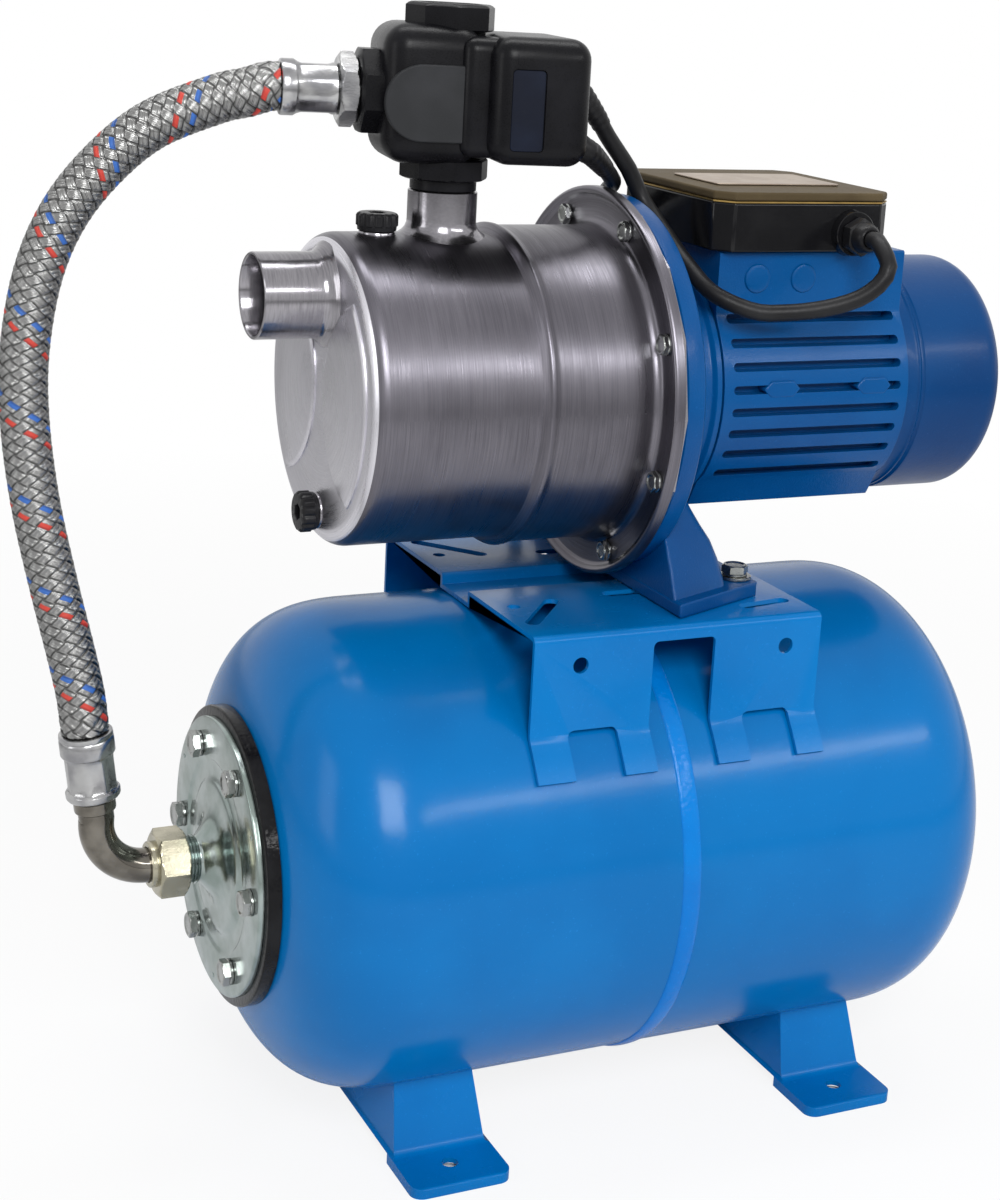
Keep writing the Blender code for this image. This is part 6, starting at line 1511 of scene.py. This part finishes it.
def motor():
    """The finned frame: grooves with round ends between solid bands, pedestal and keel."""
    low, high = FRAME_X
    flank = [point for point in arc((0, 0), FIN_TIP, -64, 48, 14) if -48 < point[1] < 43.2]
    pedestal = [(PEDESTAL_HALF + 0.6, 44.0), (PEDESTAL_HALF, 46.5),
                (PEDESTAL_HALF, PEDESTAL_TOP_Z - PUMP_HEIGHT - 1.0),
                (PEDESTAL_HALF - 1.0, PEDESTAL_TOP_Z - PUMP_HEIGHT)]
    keel_z = KEEL_Z - PUMP_HEIGHT
    keel = [(KEEL_HALF - 5.0, keel_z), (KEEL_HALF - 1.6, keel_z + 0.6), (KEEL_HALF - 0.3, keel_z + 2.4)]
    section = keel + [(45.3, -48.8)] + flank + pedestal
    section += [(-y, z) for y, z in reversed(section)]
    body = extruded("frame", section, low, high, MOTOR_BLUE, ("motor_frame",),
                    place=PUMP_AXIS, sharp=36)
    bore = form(drill, low - 5, high + 5, FRAME_BORE, "X", FINE)
    carve(body, tool(bore, PUMP_AXIS), sharp=36)
    grooves = bmesh.new()
    gap = (FIN_PITCH - FIN_THICKNESS) / 2
    for number in range(-4, 4):
        z = FIN_PITCH * (number + 0.5)
        if abs(z) > 45:
            continue
        root = math.sqrt(FIN_ROOT ** 2 - z ** 2)
        outline = rounded_rectangle((low + 6, z - gap), (high - 5, z + gap), gap - 0.05, 8)
        for side in (-1, 1):
            prism(grooves, outline, side * root, side * 90, "Y")
    carve(body, tool(grooves, PUMP_AXIS), sharp=36)
    soften(body, 0.8, 3, 40)
    for side in (-1, 1):
        end = "front" if side < 0 else "back"
        for number, x in enumerate(FRAME_BOSSES_X):
            outline = [(-11.5, 0), (-7.0, -4.6), (7.0, -4.6), (11.5, 0), (7.0, 4.6), (-7.0, 4.6)]
            boss = extruded(f"frame_boss_{end}_{number}", outline, side * 59.0, side * 68.3,
                            MOTOR_BLUE, place=(x, 0, PUMP_HEIGHT + FIN_PITCH / 2), axis="Y",
                            sharp=36)
            soften(boss, 1.0, 3, 40)
        for number, x in enumerate(PEDESTAL_BOSSES_X):
            button = [(side * y, radius) for y, radius in (
                (50.0, 0), (50.0, 8.2), (52.0, 8.0), (52.8, 7.4), (53.1, 6.6), (53.2, 5.6), (53.2, 0))]
            turned(f"pedestal_boss_{end}_{number}", button, MOTOR_BLUE,
                   place=(x, 0, PUMP_HEIGHT + PEDESTAL_BOSS_RISE), axis="Y", steps=48)


def cover_of_fan():
    """The pressed fan cover: two fine ridges, a rounded end and a ring of air slots."""
    low, high = FAN_COVER_X
    corner, inner = (
        [(high - 13 + reach * math.sin(math.radians(a)), 55 + reach * math.cos(math.radians(a)))
         for a in angles] for reach, angles in ((13, range(0, 91, 6)), (11.6, range(90, -1, -10))))
    profile = [(low, 66.2), (low + 0.3, 66.5), (161.0, 66.5), (161.6, 66.9), (162.2, 67.4),
               (163.0, 67.4), (163.6, 66.9), (164.3, 66.7), (165.2, 67.2), (165.9, 67.9),
               (166.8, 68.0), (167.6, 68.0), (185, 68.0), (200, 68.0)] + corner
    profile += [(high, 50), (high, 18), (high, 0), (high - 1.4, 0)] + inner
    profile += [(167, 66.5), (163, 65.0), (low, 65.0)]
    piece = turned("fan_hood", profile, FAN_BLUE, ("fan_cover",), place=PUMP_AXIS,
                   steps=FINE, sharp=36)
    slots = bmesh.new()
    for number in range(AIR_SLOTS):
        spin = Matrix.Rotation(2 * math.pi * number / AIR_SLOTS, 2)
        outline = arc((20, 0), 2.1, 90, 270, 8) + arc((46, 0), 2.1, -90, 90, 8)
        prism(slots, [tuple(spin @ Vector(point)) for point in outline], high - 6, high + 4)
    carve(piece, tool(slots, PUMP_AXIS), sharp=36)


def corner_outline(inset, corner):
    """The terminal box seen from above: a rectangle with cut corners, inset from its sides."""
    low, high = BOX_X[0] + inset, BOX_X[1] - inset
    half = BOX_HALF_WIDTH - inset
    cut = corner - inset * 0.6
    return [(low + cut, -half), (high - cut, -half), (high, -half + cut), (high, half - cut),
            (high - cut, half), (low + cut, half), (low, half - cut), (low, -half + cut)]


def connection_box():
    """The terminal box with its trim line, lid, bare plate and the lead's gland."""
    low, high = BOX_Z
    box = extruded("connection_box", corner_outline(0, 9), low, high - 0.9, GLOSS_BLACK,
                   ("terminal_box",), axis="Z", sharp=36)
    carve(box, tool(form(prism, corner_outline(3, 9), low + 3, high + 2, "Z")), sharp=36)
    soften(box, 1.1, 3, 30)
    trim = extruded("box_trim", corner_outline(0.1, 9), high - 0.8, high, GOLD, axis="Z")
    carve(trim, tool(form(prism, corner_outline(3, 9), high - 3, high + 2, "Z")))
    lid = extruded("box_lid", corner_outline(0, 9), high + 0.3, high + 4.8, LID, ("terminal_lid",),
                   axis="Z", sharp=36)
    soften(lid, 1.3, 4, 30)
    middle = sum(BOX_X) / 2
    label = extruded("box_plate", rounded_rectangle((middle - 39, -26), (middle + 39, 26), 2.5),
                     high + 5.1, high + 5.9, PLATE, ("rating_plate",), axis="Z", sharp=36)
    soften(label, 0.2, 1, 40)
    half = BOX_HALF_WIDTH
    boss = moved([(-5, 7), (-5, 11.6), (-4.6, 12), (0.6, 13), (0.6, 7)], -half)
    turned("gland_boss", boss, GLOSS_BLACK, place=(GLAND_PLACE[0], 0, GLAND_PLACE[2] + 1), axis="Y",
           steps=48)
    bore = LEAD_DIAMETER / 2 + 0.3
    start = -half - 5.3
    profile = [(-half + 4, bore), (-half + 4, 6.5)]
    profile += moved([(0, 6.5), (0, 8.5), (-0.7, 9.0, 6, 9.9), (-1.2, 9.0, 6, 10.4),
                      (-6.5, 9.0, 6, 10.4), (-7.2, 9.0, 6, 9.8), (-7.7, 8.4), (-10, 8.0),
                      (-12.6, 7.2), (-14.2, 6.4), (-14.7, 5.6), (-14.7, bore)], start)
    gland = turned("gland", profile, BLACK, ("cable_gland",), place=GLAND_PLACE, axis="Y", steps=48)


# Pressure switch

SWITCH_BORE = 15.2
SWITCH_SIDE_BORE = 12.2
SWITCH_PIPE = 18.5
SWITCH_FLATS = 21.6
SIDE_FLATS = 21.0


def switch_piece(name, bm, finish=SATIN_BLACK, nodes=(), sharp=32.0):
    """A piece drawn square to the switch."""
    return make_piece(name, bm, finish, nodes, place=SWITCH_PLACE, turn=SWITCH_SPIN, sharp=sharp)


def switch_tool(bm):
    return tool(bm, SWITCH_PLACE, SWITCH_SPIN)


def switch():
    """The three-way body: rounded block, octagonal ports, waist and the raised D on its face."""
    half, bore, flats, pipe = BODY_HALF, SWITCH_BORE, SWITCH_FLATS, SWITCH_PIPE
    body = form(prism, rectangle((-half, BODY_Z[0]), (half, BODY_Z[1])), *BODY_X, "X", 12.9, 8)
    piece = switch_piece("switch_block", body, nodes=("switch_body",))
    carve(piece, switch_tool(form(drill, -5, 100, bore, "Z", 64)))
    carve(piece, switch_tool(form(drill, -60, 0, SWITCH_SIDE_BORE, "X", 48, (0, PORT_Z))))
    foot = [(0.3, bore), (0.3, 16.9), (0.7, 17.4), (5.4, 17.4), (5.9, flats - 1.2, 8, flats - 1.0),
            (6.6, flats, 8, flats + 0.9), (7.2, flats, 8), (16.2, flats, 8), (17.0, flats - 0.8, 8),
            (17.0, pipe), (30, pipe), (30, bore)]
    top = [(70, bore), (70, pipe), (81.6, pipe), (81.6, flats - 0.8, 8), (82.3, flats, 8),
           (93.4, flats, 8), (94.4, flats - 0.9, 8, flats + 0.4), (95.0, flats - 2.0, 8, flats - 1.2),
           (95.0, bore + 1.4), (94.0, bore)]
    top += [(93.0 - step * 0.9, bore - (0.0 if step % 2 else 1.0)) for step in range(16)]
    for name, profile in (("switch_foot", foot), ("switch_top_port", top)):
        switch_piece(name, form(lathe, profile, "Z", 96, phase=math.pi / 8), sharp=24)
    switch_piece("switch_pipe_upper", form(
        lathe, [(17, bore), (17, pipe), (81.6, pipe), (81.6, bore)], "Z", 96), sharp=36)
    side, narrow = SIDE_FLATS, SWITCH_SIDE_BORE
    turned("switch_side_port", [
        (-47.5, narrow), (-47.5, 18.4, 8, 18.6), (-47.0, 20.2, 8, 20.4), (-46.2, side, 8, 22.0),
        (-45.6, side, 8), (-33.0, side, 8), (-24.5, side, 8), (-24.5, narrow)], SATIN_BLACK,
        place=from_switch((0, 0, PORT_Z)), turn=SWITCH_SPIN, steps=96, sharp=24)
    waist = switch_piece("switch_waist", form(
        prism, rectangle((-23, 21.7), (23, 76.7)), -2.0, 14.0, "X", 1.6, 3))
    carve(waist, switch_tool(form(drill, 10, 90, bore, "Z", 64)))
    shoulder = switch_piece("switch_shoulder", form(
        prism, rectangle((-34, 19.5), (28.5, 79.8)), 1.0, 26.0, "X", 7.0, 6))
    inside = form(drill, 10, 90, bore, "Z", 64)
    lathe(inside, [(0, 0), (0, 4.6), (17, 4.6), (17, 11), (40, 11), (40, 0)], "X", 48, False,
          (0, PORT_Z))
    carve(shoulder, switch_tool(inside))
    pad = arc((-18.5, 45.9), 19.3, 90, 270, 32) + [(7.6, 26.6), (7.6, 65.2)]
    badge = switch_piece("switch_face_pad", form(prism, pad, -half - 1.8, -half + 3, "Y"), GREY_PAD)
    soften(badge, 0.8, 3, 40)


def switch_housing():
    """The electric housing: rounded shell, sunk window, a round notch and two lead exits."""
    x, y, z = HOUSING_X, HOUSING_Y, HOUSING_Z
    piece = switch_piece("switch_housing", form(
        prism, rectangle((y[0], z[0]), (y[1], z[1])), *x, "X", 10.8, 8), nodes=("switch_cover",))
    void = form(prism, rectangle((y[0] + 5.6, z[0] + 5.6), (y[1] - 5.6, z[1] - 5.6)), x[0] + 3,
                x[1] - 5.6)
    window = form(prism, rounded_rectangle((23.4, 24.7), (41.0, 65.7), 2.4), y[0] - 5, y[0] + 1.6,
                  "Y")
    notch = form(drill, z[0] - 5, z[1] + 5, 19.1, "Z", FINE)
    carve(piece, switch_tool(void), switch_tool(window), switch_tool(notch))
    for name, (across, height) in LEAD_EXITS.items():
        tilt = SWITCH_SPIN @ spun(LEAD_EXIT_TILT, "Y")
        place = from_switch((x[1], across, height))
        carve(piece, tool(form(drill, -16, 20, 4.9, "X"), place, tilt))
        turned(f"{name}_exit_boss", [(-6, 4.9), (-6, 6.6), (3.4, 6.6), (4.0, 6.0), (4.0, 4.9)],
               SATIN_BLACK, place=place, turn=tilt, steps=48)
    soften(piece, 0.4, 2, 50)
    glass = form(prism, rounded_rectangle((23.7, 25.0), (40.7, 65.4), 2.2), y[0] + 1.2, y[0] + 3.0,
                 "Y", 0.3, 2)
    switch_piece("switch_window", glass, WINDOW, sharp=12)


# Hose ends

def hose_ends():
    """Swivel nut, crimped ferrules, bent pipe and the union nut on the tank's nipple."""
    turn, place = SWITCH_SPIN, from_switch((0, 0, PORT_Z))
    low, high = HOSE_NUT
    swivel = turned("swivel_nut", nut(low, high, NUT_FLATS, 10.6), FERRULE, ("hose_nut",), "hose_nut",
                    place, turn, steps=96, sharp=25)
    start, sleeve, band = TOP_SLEEVE
    profile = [(-41.5, 8.0), (-41.5, 10.2), (start, 10.2), (start, 12.2), (start - 0.6, 13.0)]
    profile += [(start - 2.0, 13.0), (start - 4.0, 12.1, 8, 12.7), (sleeve + 3.0, 12.1, 8, 12.7),
                (sleeve + 1.0, 13.0), (sleeve - 0.4, 13.8), (sleeve - 1.0, 14.2),
                (band + 1.0, 14.2), (band + 0.3, 13.9), (band, 13.2), (band, 8.0)]
    upper = turned("ferrule_upper", profile, FERRULE, ("top_ferrule",), place=place, turn=turn,
                   steps=96, sharp=36)
    flange, sleeve, band = BOTTOM_SLEEVE
    profile = [(0.3, 8.0), (0.3, 12.4), (0.8, 13.4), (1.6, 14.0), (2.2, 14.2), (flange - 0.8, 14.2),
               (flange, 13.6), (flange + 0.4, 13.0), (flange + 2.0, 12.1, 8, 12.7),
               (sleeve - 3.0, 12.1, 8, 12.7), (sleeve - 0.8, 13.0), (sleeve, 13.8),
               (sleeve + 0.8, 14.2), (band - 4.0, 14.2), (band - 3.0, 13.6), (band - 2.0, 14.1),
               (band - 0.3, 13.9), (band, 13.2), (band, 8.0)]
    lower = turned("ferrule_lower", profile, FERRULE, ("lower_ferrule",), place=FERRULE_START,
                   turn=FERRULE_SPIN, axis="Z", steps=96, sharp=36)
    line = elbow_path(28)
    pipe = swept("bent_pipe", line, [ELBOW_RADIUS] * len(line), CHROME, ("elbow",), steps=64)
    turned("pipe_collar", [(-7, 8.8), (-7, 10.3), (-6.5, 10.8), (-5.6, 11.0), (-0.8, 11.0), (-0.3, 10.6),
                           (0, 9.8), (0, 8.8)], CHROME, place=FERRULE_START, turn=FERRULE_SPIN,
           axis="Z", steps=64)
    low, high = UNION_NUT
    profile = [(low, 9.7), (low, 11.8), (low + 0.6, 12.4), (low + 3.4, 12.4)]
    profile += nut(low + 3.5, high - 3.0, NUT_FLATS, 9.7, limit=0.7)[1:-1]
    profile += [(high - 3.0, 14.4), (NIPPLE_END_X - 4, 14.4), (NIPPLE_END_X - 4, 9.7)]
    union = turned("union_nut_hexagon", profile, NUT_ZINC, ("union_nut",), "union_nut",
                   TANK_AXIS, steps=96, phase=UNION_PHASE, sharp=25)


def inner_parts():
    """Finishes of the CAD pieces that stay inside the pump, the motor and the tank."""
    for finish, nodes in (
            (BAG, ("bladder",)), (BRASS, ("air_valve", "nozzle", "impeller", "terminal_block")),
            (RUBBER, ("casing_gasket",)), (PIPE_STEEL, ("seal_plate", "shaft", "switch_plunger")),
            (CERAMIC, ("seal_seat", "seal_head")), (NORYL, ("diffuser", "ejector_body")),
            (IRON, ("rotor", "stator")), (BLACK, ("cooling_fan",)),
            (ZINC, ("front_bearing", "rear_bearing")), (MOTOR_BLUE, ("rear_shield",)),
            (FERRULE, ("capacitor",))):
        finish_nodes(finish, *nodes)


make_camera()
make_studio()
make_floor()
braided_hose()
motor_cord()
mains_cord()
tank()
collar()
cover()
valve_end()
feet()
bracket()
casing()
screw_plugs()
lantern()
foot_bolts()
motor()
cover_of_fan()
connection_box()
switch()
switch_housing()
hose_ends()
inner_parts()
